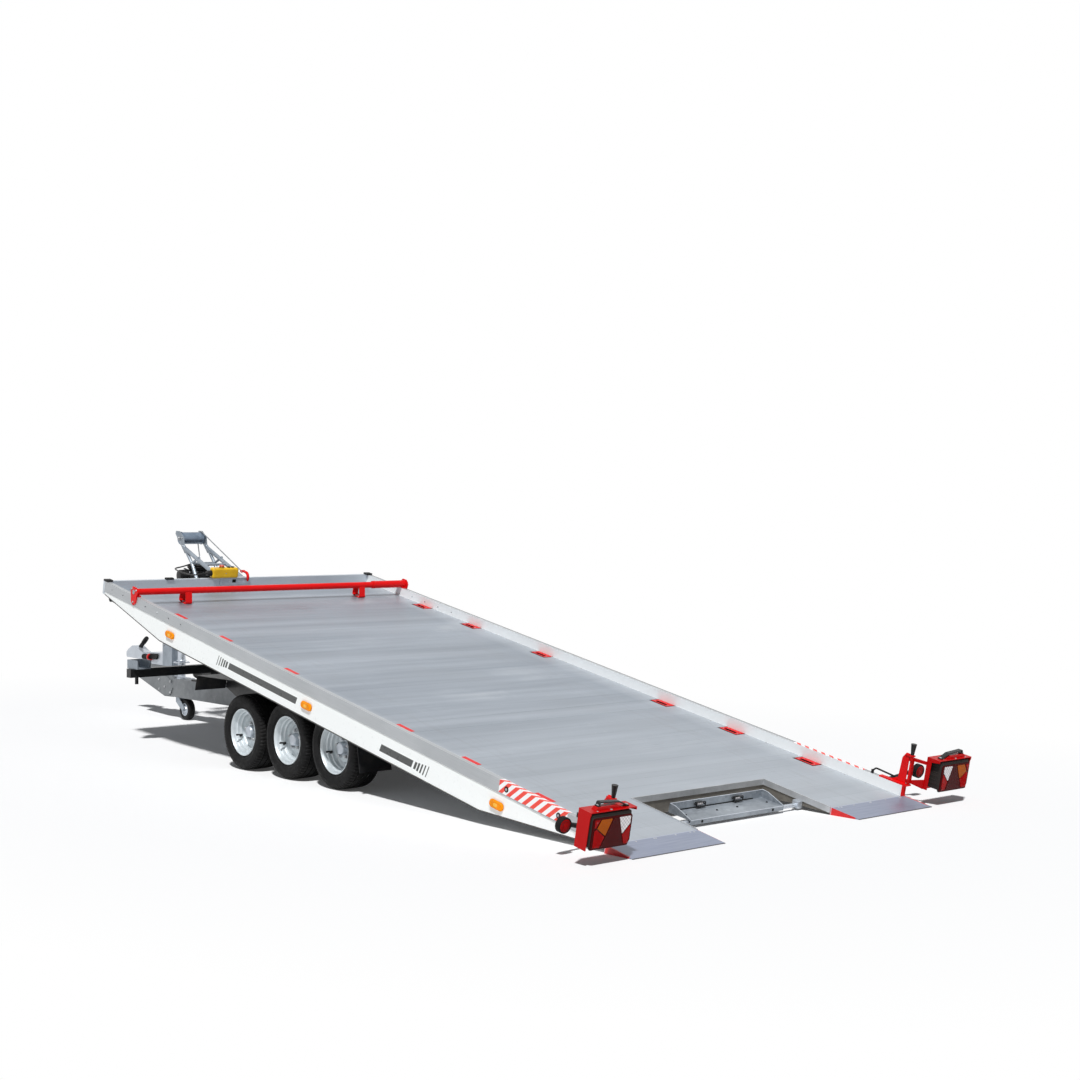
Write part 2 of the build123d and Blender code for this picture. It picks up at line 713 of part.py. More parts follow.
def build_lamp_brackets():
    """Red feet on the rail ends, each with an upright plate and a hinge rod."""
    top = RAIL_HEIGHT
    with BuildPart() as brackets:
        block(DECK, (180, 367), (INNER_HALF, HALF_WIDTH), (top, top + 8))
        block(DECK, (180, 206), (HALF_WIDTH - 10, HALF_WIDTH + 14), (top, top + 8))
        block(DECK, (WEDGE_LENGTH - 7, WEDGE_LENGTH), (INNER_HALF, HALF_WIDTH), (0, top))
        plate = ((207, top + 8), (300, top + 8), (258, top + 30), (250, 205), (228, 236), (207, 236))
        slab(DECK, HALF_WIDTH - 6, HALF_WIDTH, plate)
        block(DECK, (180, 228), (HALF_WIDTH - 12, HALF_WIDTH + 12), (HINGE_TOP - 8, HINGE_TOP))
        axis = ((LAMP_HINGE_S, LAMP_HINGE_Y, top + 4), (LAMP_HINGE_S, LAMP_HINGE_Y, HINGE_TOP))
        rod(DECK, *axis, HINGE_ROD)
        both_sides()
    save("lamp_brackets", brackets)


def build_lamp_knobs():
    """Black clamping knobs on top of the hinge rods."""
    with BuildPart() as knobs:
        foot = DECK.from_local_coords((LAMP_HINGE_S, LAMP_HINGE_Y, HINGE_TOP + 31))
        with Locations(Plane(foot, x_dir=DECK.x_dir, z_dir=DECK.z_dir)):
            Cone(9, 16, 62)
        both_sides()
    save("lamp_knobs", knobs)


def build_lamp_leads():
    """Black lead from the rail along each lamp foot."""
    start = HALF_WIDTH - RAIL_THICK / 2
    points = (
        (425, start, 74),
        (405, start, 94),
        (360, HALF_WIDTH + 12, 82),
        (290, HALF_WIDTH + 18, 76),
        (204, HALF_WIDTH + 24, 76),
    )
    with BuildPart() as leads:
        cord([DECK.from_local_coords(point) for point in points], 5, 14)
        rod(DECK, (425, start, RAIL_HEIGHT), (425, start, 80), 8)
        both_sides()
    save("lamp_leads", leads)


def lamp_holder():
    """Left lamp holder: hinge sleeves, strip, two arms and the hood over the lamp."""
    outer = LAMP_INNER + LAMP_WIDTH
    with BuildPart() as holder:
        for low, high in ((74, 94), (198, 220)):
            ends = ((LAMP_HINGE_S, LAMP_HINGE_Y, low), (LAMP_HINGE_S, LAMP_HINGE_Y, high))
            rod(DECK, *ends, HINGE_ROD + 5)
        block(DECK, (178, 183), (LAMP_HINGE_Y - 8, LAMP_HINGE_Y + 8), (74, 220))
        arm = (LAMP_HINGE_Y + 4, LAMP_HINGE_Y + 16)
        upper = ((186, 200), (LAMP_FRONT - 4, 206), (LAMP_FRONT - 4, 222), (186, 218))
        slab(DECK, *arm, upper)
        lower = (
            (186, 76),
            (120, HOOD_BOTTOM + 2),
            (LAMP_FRONT - 4, HOOD_BOTTOM),
            (LAMP_FRONT - 4, 122),
            (186, 92),
        )
        slab(DECK, *arm, lower)
        back = (LAMP_FRONT - SHEET, LAMP_FRONT)
        block(DECK, back, (LAMP_INNER, outer), (HOOD_BOTTOM, HOOD_TOP))
        block(DECK, (HOOD_REAR, LAMP_FRONT), (LAMP_INNER, outer), (HOOD_TOP - SHEET, HOOD_TOP))
        for y, edge in ((LAMP_INNER, 72), (outer - SHEET, 24)):
            cheek = (
                (LAMP_FRONT, HOOD_BOTTOM),
                (LAMP_FRONT, HOOD_TOP),
                (HOOD_REAR, HOOD_TOP),
                (HOOD_REAR, HOOD_TOP - 14),
                (edge, HOOD_TOP - 24),
                (edge + 3, HOOD_BOTTOM),
            )
            slab(DECK, y, y + SHEET, cheek)
        bump = (
            (LAMP_INNER + 70, HOOD_TOP),
            (outer - 40, HOOD_TOP),
            (outer - 54, HOOD_TOP + 16),
            (LAMP_INNER + 110, HOOD_TOP + 16),
        )
        cross_slab(DECK, 34, 66, bump)
        axis = ((LAMP_HINGE_S, LAMP_HINGE_Y, 60), (LAMP_HINGE_S, LAMP_HINGE_Y, 240))
        rod(DECK, *axis, HINGE_ROD + SHAFT_PLAY, Mode.SUBTRACT)
    return holder


def lamp_handle():
    """Left lamp's black carrying strap over the hood."""
    line = (
        (LAMP_INNER + 42, HOOD_TOP + 3),
        (LAMP_INNER + 96, HOOD_TOP + 27),
        (LAMP_INNER + 214, HOOD_TOP + 36),
        (LAMP_INNER + 218, HOOD_TOP + 18),
    )
    with BuildPart() as handle:
        with BuildSketch(across(DECK, 38)) as profile:
            with BuildLine():
                FilletPolyline(*line, radius=6)
            trace(line_width=7)
        extrude(profile.sketch, amount=24)
        block(DECK, (38, 62), (LAMP_INNER + 34, LAMP_INNER + 50), (HOOD_TOP, HOOD_TOP + 6))
        block(DECK, (38, 62), (LAMP_INNER + 210, LAMP_INNER + 226), (HOOD_TOP + 16, HOOD_TOP + 22))
        block(DECK, (30, 70), (LAMP_INNER + 20, LAMP_INNER + 240), (HOOD_TOP - 10, HOOD_TOP), Mode.SUBTRACT)
    return handle


def tail_lamp(side):
    """One side's tail lamp: rubber back and lens with a cut corner on the same hand on both sides."""
    low = LAMP_INNER + 28
    high = LAMP_INNER + LAMP_WIDTH - 17
    cuts = (8, 26) if side > 0 else (26, 8)
    with BuildPart() as lamp:
        block(DECK, (20, LAMP_FRONT - SHEET), (low - 5, high + 5), (82, 238))
        lens = (
            (low, LENS_BOTTOM + cuts[1]),
            (low + cuts[1] / 2, LENS_BOTTOM),
            (high - cuts[0] / 2, LENS_BOTTOM),
            (high, LENS_BOTTOM + cuts[0]),
            (high, LENS_TOP - 6),
            (high - 6, LENS_TOP),
            (low + 6, LENS_TOP),
            (low, LENS_TOP - 6),
        )
        cross_slab(DECK, LAMP_REAR, 20, lens)
    return lamp


def save_pair(name, piece, other=None):
    """Write a left piece, and its mirror image or that of another piece for the right side."""
    save(f"{name}_left", piece)
    with BuildPart() as twin:
        add((other or piece).part.mirror(Plane.XZ))
    save(f"{name}_right", twin)


def build_number_plate_carrier():
    """Zinced tray that turns on the cross shaft; the plate lies on its floor."""
    half = CARRIER_SHEET / 2
    profile_line = (
        (CARRIER_FRONT, 0),
        (CARRIER_FRONT + 1, -45),
        (CARRIER_REAR, -38.5),
        (CARRIER_REAR - 1, -62),
    )
    end = (
        (CARRIER_FRONT + half, -1),
        (CARRIER_FRONT + 1 + half, -46),
        (CARRIER_REAR - 1 - half, -40),
        (CARRIER_REAR - half, -35),
        (CARRIER_FRONT - 40, -2),
    )
    with BuildPart() as carrier:
        strip(DECK, -CARRIER_HALF, CARRIER_HALF, profile_line, CARRIER_SHEET)
        for low in (-CARRIER_HALF, CARRIER_HALF - CARRIER_SHEET):
            slab(DECK, low, low + CARRIER_SHEET, end)
        for y in KNUCKLE_PLACES:
            rod(DECK, (SHAFT_S, y - 12, -SHAFT_DROP), (SHAFT_S, y + 12, -SHAFT_DROP), SHAFT_RADIUS + 5)
        ends = ((SHAFT_S, -CARRIER_HALF, -SHAFT_DROP), (SHAFT_S, CARRIER_HALF, -SHAFT_DROP))
        rod(DECK, *ends, SHAFT_RADIUS + SHAFT_PLAY, Mode.SUBTRACT)
    save("number_plate_carrier", carrier)


def build_plate_lamps():
    """Two black lamps in U-shaped guards on the carrier's front wall."""
    face = CARRIER_FRONT - CARRIER_SHEET / 2
    with BuildPart() as lamps:
        for y in (-140, 140):
            block(DECK, (face - 26, face), (y - 36, y + 36), (-34, -6))
            block(DECK, (face - 30, face - 8), (y - 26, y + 26), (-28, -14), Mode.SUBTRACT)
    save("plate_lamps", lamps)


# ---------------------------------------------------------------- chassis
def build_chassis_frame():
    half = SIDE_MEMBER_WIDTH / 2
    floor = TUBE_Z + TUBE_SIZE / 2
    top = floor + SIDE_MEMBER_HEIGHT
    member = (SIDE_MEMBER_Y - half, SIDE_MEMBER_Y + half)
    with BuildPart() as frame:
        block(CHASSIS, (CHASSIS_REAR, CHASSIS_FRONT), member, (floor, top))
        block(CHASSIS, (CHASSIS_REAR, CHASSIS_REAR + 60), (0, SIDE_MEMBER_Y), (floor, top))
        block(CHASSIS, (BEAM_REAR, BEAM_REAR + 80), (0, SIDE_MEMBER_Y), (BEAM_TOP, top))
        block(CHASSIS, (CHASSIS_FRONT - 60, CHASSIS_FRONT), (0, SIDE_MEMBER_Y), (BEAM_TOP, 365))
        # tilt bracket with its pin
        bracket = ((-62, top), (62, top), (25, PIVOT_Z + 25), (-25, PIVOT_Z + 25))
        outer = SIDE_MEMBER_Y - 12
        slab(CHASSIS, outer, outer + PLATE, bracket)
        rod(CHASSIS, (0, outer - 32, PIVOT_Z), (0, outer + PLATE + 6, PIVOT_Z), PIVOT_RADIUS)
        rod(CHASSIS, (0, outer - 38, PIVOT_Z), (0, outer - 30, PIVOT_Z), PIVOT_RADIUS + 6)
        # straps that carry the mudguards
        for x in (-250, 250):
            block(CHASSIS, (x - 20, x + 20), (SIDE_MEMBER_Y, 825), (floor + 60, floor + 68))
        both_sides()
    save("chassis_frame", frame)


def build_axles():
    """Three torsion axles: square tube, trailing arms, brake drums and spindles."""
    arm_low = TUBE_HALF
    arm_high = TUBE_HALF + 28
    drum = (WHEEL_Y - RIM_WIDTH / 2 - 60, WHEEL_Y - 45)
    with BuildPart() as axles:
        for x in (-AXLE_PITCH, 0, AXLE_PITCH):
            tube = (x + ARM_REACH - TUBE_SIZE / 2, x + ARM_REACH + TUBE_SIZE / 2)
            block(CHASSIS, tube, (0, TUBE_HALF), (TUBE_Z - TUBE_SIZE / 2, TUBE_Z + TUBE_SIZE / 2))
            arm = (
                (x + ARM_REACH + 34, TUBE_Z + 30),
                (x + ARM_REACH + 34, TUBE_Z - 34),
                (x + 20, TYRE_RADIUS - 34),
                (x - 32, TYRE_RADIUS - 20),
                (x - 32, TYRE_RADIUS + 26),
                (x + 20, TYRE_RADIUS + 38),
            )
            slab(CHASSIS, arm_low, arm_high, arm)
            rod(CHASSIS, (x, arm_high - 1, TYRE_RADIUS), (x, drum[1], TYRE_RADIUS), DRUM_RADIUS)
            spindle_end = WHEEL_Y + 20
            rod(CHASSIS, (x, drum[1] - 1, TYRE_RADIUS), (x, spindle_end, TYRE_RADIUS), SPINDLE_RADIUS)
        both_sides()
    save("axles", axles)


def build_mudguards():
    """Black sheet guards over each row of wheels, with a skirt and a rear flap."""
    under = deck_coords(-AXLE_PITCH, TYRE_RADIUS)[1] + TYRE_RADIUS + 5.2
    rear = deck_point(deck_coords(-750, 425)[0], under)
    low_s = deck_coords(-150, 545)[0]
    bend = deck_point(low_s, under)
    sheet = 2.4
    top = bend[1]
    upper = (
        rear,
        bend,
        (1020, top),
        (1050, 450),
        (1050 + sheet, 450),
        (1020 + sheet, top + sheet),
        (bend[0], top + sheet),
        (rear[0], rear[1] + sheet),
    )
    flap = (
        (rear[0], rear[1] + sheet),
        (rear[0] + 3, rear[1]),
        (-800, 130),
        (-803, 130),
    )
    skirt = (rear, bend, (1020, top), (1045, 460), (900, 400), (-700, 400))
    with BuildPart() as guards:
        slab(CHASSIS, 830, 1050, upper)
        slab(CHASSIS, 832, 1048, flap)
        slab(CHASSIS, 825, 830, skirt)
        both_sides()
    save("mudguards", guards)


def rim():
    """Wheel rim with a deep disc and a hub, about the local Y axis of the wheel."""
    half = RIM_WIDTH / 2
    wall = RIM_WALL
    outline = (
        (RIM_FLANGE, -half),
        (RIM_FLANGE, -half + 5),
        (RIM_SEAT, -half + 8),
        (RIM_SEAT, -half + 42),
        (RIM_WELL, -half + 50),
        (RIM_WELL, half - 50),
        (RIM_SEAT, half - 42),
        (RIM_SEAT, half - 8),
        (RIM_FLANGE, half - 5),
        (RIM_FLANGE, half),
        (RIM_SEAT - wall, half - 3),
        (RIM_SEAT - wall, half - 44),
        (RIM_WELL - wall, half - 52),
        (RIM_WELL - wall, DISC_OFFSET + DISC_THICK),
        (HUB_RADIUS, DISC_OFFSET + DISC_THICK),
        (HUB_RADIUS, DISC_OFFSET + DISC_THICK + 14),
        (HUB_RADIUS - 10, DISC_OFFSET + DISC_THICK + 34),
        (0, DISC_OFFSET + DISC_THICK + 36),
        (0, 22),
        (SPINDLE_RADIUS + SHAFT_PLAY, 22),
        (SPINDLE_RADIUS + SHAFT_PLAY, -40),
        (HUB_RADIUS, -40),
        (HUB_RADIUS, DISC_OFFSET),
        (RIM_WELL - wall, DISC_OFFSET),
        (RIM_WELL - wall, -half + 52),
        (RIM_SEAT - wall, -half + 44),
        (RIM_SEAT - wall, -half + 3),
    )
    with BuildPart() as piece:
        with BuildSketch(Plane.XY):
            with BuildLine():
                Polyline(*outline, close=True)
            make_face()
        revolve(axis=Axis.Y)
    return piece


def tyre():
    """Tyre on the same axis, seated between the rim's flanges."""
    bead = RIM_WIDTH / 2 - 8.6
    seat = RIM_SEAT + 0.3
    half = TYRE_WIDTH / 2
    shoulder = (TYRE_RADIUS - 12, half - 8)
    tread = (TYRE_RADIUS - 2.5, half - 26)
    with BuildPart() as piece:
        with BuildSketch(Plane.XY):
            with BuildLine():
                Line((seat, -bead), (seat, bead))
                Line((seat, bead), (RIM_FLANGE + 3, bead))
                ThreePointArc((RIM_FLANGE + 3, bead), (TYRE_RADIUS - 45, half), shoulder)
                Line(shoulder, tread)
                ThreePointArc(tread, (TYRE_RADIUS, 0), (tread[0], -tread[1]))
                Line((tread[0], -tread[1]), (shoulder[0], -shoulder[1]))
                ThreePointArc(
                    (shoulder[0], -shoulder[1]),
                    (TYRE_RADIUS - 45, -half),
                    (RIM_FLANGE + 3, -bead),
                )
                Line((RIM_FLANGE + 3, -bead), (seat, -bead))
            make_face()
        revolve(axis=Axis.Y)
    return piece


def build_wheels():
    wheel_rim = rim()
    wheel_tyre = tyre()
    rows = (("front", AXLE_PITCH), ("middle", 0), ("rear", -AXLE_PITCH))
    for row, x in rows:
        for flank, y, turn in (("left", WHEEL_Y, 0), ("right", -WHEEL_Y, 180)):
            centre = Location((MID_AXLE_X + x, y, TYRE_RADIUS), (0, 0, turn))
            for name, piece in (("rim", wheel_rim), ("tyre", wheel_tyre)):
                with BuildPart() as placed:
                    add(piece.part.moved(centre))
                save(f"{name}_{row}_{flank}", placed)


def build_drawbar():
    """Central box beam with its nose plates, gussets and the holder post."""
    nose = (
        (BEAM_FRONT - 150, BEAM_TOP),
        (BEAM_FRONT - 50, 398),
        (3760, 398),
        (3760, 280),
        (BEAM_FRONT - 10, BEAM_BOTTOM - 5),
        (BEAM_FRONT - 150, BEAM_BOTTOM - 2),
    )
    gusset = (
        (3200, 240),
        (3250, 305),
        (3350, 330),
        (3440, 290),
        (3450, 225),
        (3350, 172),
        (3250, 176),
    )
    with BuildPart() as drawbar:
        block(CHASSIS, (BEAM_REAR, BEAM_FRONT), (-BEAM_HALF, BEAM_HALF), (BEAM_BOTTOM, BEAM_TOP))
        slab(CHASSIS, -BEAM_HALF, BEAM_HALF, nose)
        for low, high in ((BEAM_HALF, BEAM_HALF + 6), (-BEAM_HALF - 6, -BEAM_HALF)):
            slab(CHASSIS, low, high, gusset)
        # feet of the lift cylinder
        foot_x, foot_z = CYLINDER_FOOT
        ear = (
            (foot_x - 45, BEAM_TOP),
            (foot_x + 45, BEAM_TOP),
            (foot_x + 20, foot_z + 24),
            (foot_x - 20, foot_z + 24),
        )
        for low, high in ((BARREL_RADIUS + 5, 50), (-50, -BARREL_RADIUS - 5)):
            slab(CHASSIS, low, high, ear)
        rod(CHASSIS, (foot_x, -50, foot_z), (foot_x, 50, foot_z), 12)
        tube = ((JOCKEY_X, 0, BEAM_BOTTOM - 5), (JOCKEY_X, 0, BEAM_TOP))
        rod(CHASSIS, *tube, JOCKEY_TUBE + 0.3, Mode.SUBTRACT)
    save("drawbar", drawbar)


def build_holder_post():
    """Zinced open post behind the overrun device."""
    with BuildPart() as post:
        for low, high in ((44, 50), (-50, -44)):
            flank = ((3222, 330), (3300, 398.6), (3370, 398.6), (3370, 600), (3222, 600))
            slab(CHASSIS, low, high, flank)
        block(CHASSIS, (3222, 3228), (-50, 50), (400, 600))
        block(CHASSIS, (3222, 3370), (-50, 50), (496, 502))
    save("holder_post", post)


def build_front_crossbar():
    """Black crossbar on a pedestal, with a drop pin near each end."""
    bottom = CROSSBAR_BOTTOM
    half = CROSSBAR_SIZE / 2
    around = (CROSSBAR_X - half, CROSSBAR_X + half)
    with BuildPart() as crossbar:
        block(CHASSIS, around, (-CROSSBAR_HALF, CROSSBAR_HALF), (bottom, bottom + CROSSBAR_SIZE))
        block(CHASSIS, around, (-BEAM_HALF, BEAM_HALF), (BEAM_TOP, bottom))
        for y in (-940, 940):
            rod(CHASSIS, (CROSSBAR_X, y, bottom - 48), (CROSSBAR_X, y, bottom), 12)
    save("front_crossbar", crossbar)


def build_front_rests():
    """Zinced open boxes on the crossbar that carry the lowered platform."""
    floor = CROSSBAR_BOTTOM + CROSSBAR_SIZE
    xs = (CROSSBAR_X - 90, CROSSBAR_X + 60)
    with BuildPart() as rests:
        block(CHASSIS, xs, (880, 980), (floor, floor + 5))
        block(CHASSIS, (xs[1] - 5, xs[1]), (880, 980), (floor, REST_TOP))
        for low, high in ((880, 886), (974, 980)):
            block(CHASSIS, xs, (low, high), (floor, REST_TOP))
        both_sides()
    save("front_rests", rests)


def build_overrun_device():
    bottom = OVERRUN_BOTTOM
    half = OVERRUN_SIZE / 2
    centre = bottom + half
    with BuildPart() as device:
        block(CHASSIS, (OVERRUN_REAR, OVERRUN_FRONT), (-half, half), (bottom, bottom + OVERRUN_SIZE))
        rod(CHASSIS, (OVERRUN_FRONT, 0, centre), (OVERRUN_FRONT + 90, 0, centre), 36)
        rod(CHASSIS, (OVERRUN_FRONT, 0, centre), (HEAD_REAR + 20, 0, centre), TUBE_RADIUS)
        block(CHASSIS, (OVERRUN_REAR + 30, OVERRUN_FRONT + 80), (-28, 28), (398, bottom + 10))
    save("overrun_device", device)


def build_coupling_head():
    """Ball coupling head, hollow below for the ball."""
    profile_points = (
        (HEAD_REAR, 424),
        (HEAD_REAR, 478),
        (3790, 500),
        (3850, 528),
        (3900, 524),
        (3962, 496),
        (NOSE_REACH, 470),
        (NOSE_REACH, 440),
        (3990, 428),
    )
    with BuildPart() as head:
        slab(CHASSIS, -38, 38, profile_points)
        ball = CHASSIS.from_local_coords((3940, 0, COUPLING_Z - 8))
        with Locations(ball):
            Sphere(COUPLING_BALL / 2 + SHAFT_PLAY, mode=Mode.SUBTRACT)
        entry = ((3940, 0, 420), (3940, 0, COUPLING_Z - 8))
        rod(CHASSIS, *entry, COUPLING_BALL / 2 + SHAFT_PLAY, Mode.SUBTRACT)
        centre = OVERRUN_BOTTOM + OVERRUN_SIZE / 2
        tube = ((HEAD_REAR, 0, centre), (HEAD_REAR + 20.3, 0, centre))
        rod(CHASSIS, *tube, TUBE_RADIUS + 0.2, Mode.SUBTRACT)
        rod(CHASSIS, *GRIP_LINE, GRIP_RADIUS + 0.2, Mode.SUBTRACT)
    save("coupling_head", head)


def build_drawbar_levers():
    """Black parking brake lever with a ringed grip, and the coupling's lifting grip."""
    with BuildPart() as levers:
        rod(CHASSIS, (3460, OVERRUN_SIZE / 2, 468), (3460, 60, 468), 18)
        block(CHASSIS, (3452, 3568), (52, 60), (440, 482))
        rod(CHASSIS, (OVERRUN_FRONT + 2, 56, 455), (3672, 56, 452), 18)
        rod(CHASSIS, *GRIP_LINE, GRIP_RADIUS)
    save("drawbar_levers", levers)


def build_jockey():
    """Jockey wheel: fixed tube with its crank, sliding leg, swivelling fork and wheel."""
    x = JOCKEY_X
    with BuildPart() as tube:
        rod(CHASSIS, (x, 0, JOCKEY_BOTTOM), (x, 0, JOCKEY_TOP), JOCKEY_TUBE)
        rod(CHASSIS, (x, 0, BEAM_TOP), (x, 0, BEAM_TOP + 10), JOCKEY_TUBE + 9)
        block(CHASSIS, (x - 45, x + 45), (-45, 45), (430, 438))
        rod(CHASSIS, (x, 0, JOCKEY_BOTTOM), (x, 0, JOCKEY_TOP - 20), JOCKEY_INNER + 0.6, Mode.SUBTRACT)
        rod(CHASSIS, (x, 0, JOCKEY_TOP), (x, 0, JOCKEY_TOP + 18), 8)
        block(CHASSIS, (x - 10, x + 10), (-110, 10), (JOCKEY_TOP + 14, JOCKEY_TOP + 22))
        rod(CHASSIS, (x, -100, JOCKEY_TOP + 20), (x, -100, JOCKEY_TOP + 60), 11)
    save("jockey_tube", tube)
    with BuildPart() as leg:
        foot = JOCKEY_CROWN + TOUCH
        rod(CHASSIS, (x, 0, foot), (x, 0, JOCKEY_TOP - 40), JOCKEY_INNER)
        rod(CHASSIS, (x, 0, JOCKEY_CROWN - 28), (x, 0, foot + 1), 11)
    save("jockey_leg", leg)
    axle_x = x - JOCKEY_TRAIL
    half = JOCKEY_WIDTH / 2
    with BuildPart() as fork:
        block(CHASSIS, (x - 24, x + 26), (-half - 8, half + 8), (JOCKEY_CROWN - 28, JOCKEY_CROWN))
        cheek = (
            (x + 26, JOCKEY_CROWN),
            (x + 26, JOCKEY_CROWN - 34),
            (axle_x + 12, JOCKEY_RADIUS - 16),
            (axle_x - 14, JOCKEY_RADIUS - 10),
            (axle_x - 14, JOCKEY_RADIUS + 12),
            (x - 24, JOCKEY_CROWN),
        )
        for low, high in ((half + 3, half + 8), (-half - 8, -half - 3)):
            slab(CHASSIS, low, high, cheek)
        rod(CHASSIS, (axle_x, -half - 12, JOCKEY_RADIUS), (axle_x, half + 12, JOCKEY_RADIUS), 8)
        rod(CHASSIS, (x, 0, 100), (x, 0, JOCKEY_CROWN), 11 + SHAFT_PLAY, Mode.SUBTRACT)
    save("jockey_fork", fork)
    with BuildPart() as wheel:
        hub_ends = ((axle_x, -half - 1.5, JOCKEY_RADIUS), (axle_x, half + 1.5, JOCKEY_RADIUS))
        ends = ((axle_x, -half, JOCKEY_RADIUS), (axle_x, half, JOCKEY_RADIUS))
        rod(CHASSIS, *ends, JOCKEY_RADIUS)
        fillet(wheel.edges(), radius=9)
        rod(CHASSIS, *hub_ends, 24)
        rod(CHASSIS, *hub_ends, 8 + SHAFT_PLAY, Mode.SUBTRACT)
    save("jockey_wheel", wheel)


def build_hydraulic_pump():
    """Black pump unit on the beam: tank, motor and valve block."""
    with BuildPart() as pump:
        block(CHASSIS, (2620, 2920), (-48, 48), (BEAM_TOP, BEAM_TOP + 12))
        block(CHASSIS, (2630, 2770), (-45, 45), (BEAM_TOP + 12, BEAM_TOP + 112))
        rod(CHASSIS, (2770, 0, BEAM_TOP + 62), (2912, 0, BEAM_TOP + 62), 42)
    save("hydraulic_pump", pump)


def build_cylinder():
    """Lift cylinder from the drawbar to the platform: hinged barrel and sliding rod."""
    foot_x, foot_z = CYLINDER_FOOT
    eye_x, eye_z = deck_point(CYLINDER_EYE_S, -CYLINDER_EYE_DROP)
    reach = hypot(eye_x - foot_x, eye_z - foot_z)
    rise = atan2(eye_z - foot_z, eye_x - foot_x)
    line = Plane(
        CHASSIS.from_local_coords((foot_x, 0, foot_z)),
        x_dir=(cos(rise), 0, sin(rise)),
        z_dir=(-sin(rise), 0, cos(rise)),
    )
    with BuildPart() as barrel:
        rod(line, (24, 0, 0), (BARREL_LENGTH, 0, 0), BARREL_RADIUS)
        rod(line, (0, -24, 0), (0, 24, 0), EYE_RADIUS)
        block(line, (0, 60), (-24, 24), (-20, 20))
        rod(line, (60, 0, 0), (BARREL_LENGTH, 0, 0), ROD_RADIUS + SHAFT_PLAY, Mode.SUBTRACT)
        rod(line, (0, -50, 0), (0, 50, 0), 12 + SHAFT_PLAY, Mode.SUBTRACT)
    save("cylinder_barrel", barrel)
    with BuildPart() as piston:
        rod(line, (170, 0, 0), (reach - 10, 0, 0), ROD_RADIUS)
        rod(line, (reach, -24, 0), (reach, 24, 0), EYE_RADIUS)
        rod(line, (reach, -24, 0), (reach, 24, 0), 13, Mode.SUBTRACT)
    save("cylinder_rod", piston)


build_winch_stand()
build_rope_roller()
build_winch()
build_winch_rope()
build_rope_hook()
build_pendant()
build_pendant_cable()
build_pendant_coil()
build_marker_lamps()
build_lamp_brackets()
build_lamp_knobs()
build_lamp_leads()
save_pair("lamp_holder", lamp_holder())
save_pair("lamp_handle", lamp_handle())
save_pair("tail_lamp", tail_lamp(1), tail_lamp(-1))
build_number_plate_carrier()
build_plate_lamps()
build_chassis_frame()
build_axles()
build_mudguards()
build_wheels()
build_drawbar()
build_holder_post()
build_front_crossbar()
build_front_rests()
build_overrun_device()
build_coupling_head()
build_drawbar_levers()
build_jockey()
build_hydraulic_pump()
build_cylinder()
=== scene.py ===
"""Looks of a tilting three-axle car transporter trailer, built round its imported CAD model."""
from functools import reduce
from math import cos, pi, radians, sin, tan

import bmesh
import bpy
from mathutils import Matrix, Vector


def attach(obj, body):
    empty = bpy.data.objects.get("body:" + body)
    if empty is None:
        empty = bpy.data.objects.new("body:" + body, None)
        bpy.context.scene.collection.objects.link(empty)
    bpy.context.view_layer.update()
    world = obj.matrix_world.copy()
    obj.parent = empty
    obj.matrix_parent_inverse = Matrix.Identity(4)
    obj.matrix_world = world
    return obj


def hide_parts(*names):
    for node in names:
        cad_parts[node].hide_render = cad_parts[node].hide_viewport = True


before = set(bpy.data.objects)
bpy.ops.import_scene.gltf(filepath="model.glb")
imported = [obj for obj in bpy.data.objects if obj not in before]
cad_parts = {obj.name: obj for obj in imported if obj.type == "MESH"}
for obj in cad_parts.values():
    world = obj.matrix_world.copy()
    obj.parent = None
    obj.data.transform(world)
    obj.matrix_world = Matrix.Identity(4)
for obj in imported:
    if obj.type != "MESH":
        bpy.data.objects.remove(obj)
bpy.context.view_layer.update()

# ------------------------------------------------------------------ places
MM = 0.001  # turned profiles, bolts and rivets are given in mm, all else in metres
TILT = radians(11.25)
MIDDLE = -0.442268  # middle axle's place in the row frame
CHASSIS = Matrix.Translation((MIDDLE, 0, 0))
TIP_REACH = 3.08  # ramp tips behind the middle axle
DECK = Matrix.Translation((MIDDLE - TIP_REACH, 0, 0)) @ Matrix.Rotation(-TILT, 4, "Y")
SIDES = ((1, "left"), (-1, "right"))
AHEAD, BACK, LEFT, UP = (1, 0, 0), (-1, 0, 0), (0, 1, 0), (0, 0, 1)
AXLES = (("front", 0.505), ("middle", 0.0), ("rear", -0.505))
TYRE_RADIUS = 0.232
WHEEL_Y = 0.9375  # wheel's middle plane
SLOT_PLACES = (0.843, 1.448, 2.047, 3.232, 4.019, 4.613)
SLOT_Y = 1.022
MARKER_PLACES = (1.004, 2.781, 4.436)
MARKER_W = -0.074
HOOK_Y = -0.01  # side place of the rope and its hook
CONTROL_S, CONTROL_TOP = 5.406, 0.1375  # hand control's middle and upper face
GLAND_W = 0.098  # height of the hand control's cable gland
STOP_FOOT_Y = 0.71
BEAM_FACE, STOP_FACE = 1.0998, 1.1078  # outer faces of the side beams and of the stop bar's brackets
PLATE_LAMP_W = -0.02
TRAY_HALF = 0.343
PUMP_TOP = 0.4218
WINCH_S, WINCH_W = 6.01, -0.058
ROLLER_S, ROLLER_W = 6.115, 0.205
JOCKEY_AXLE = (3.07, 0, 0.08)

# ------------------------------------------------------------------ light and patterns
SUN_ENERGY = 3.45
SKY_LIGHT = 0.12
FLOOR_GLOW = 0.045
FLOOR_HALF = 40
JOINT_PITCH = 0.1635  # between the deck's grooves
TAPE_PITCH = 0.0615  # between the tape's red stripes


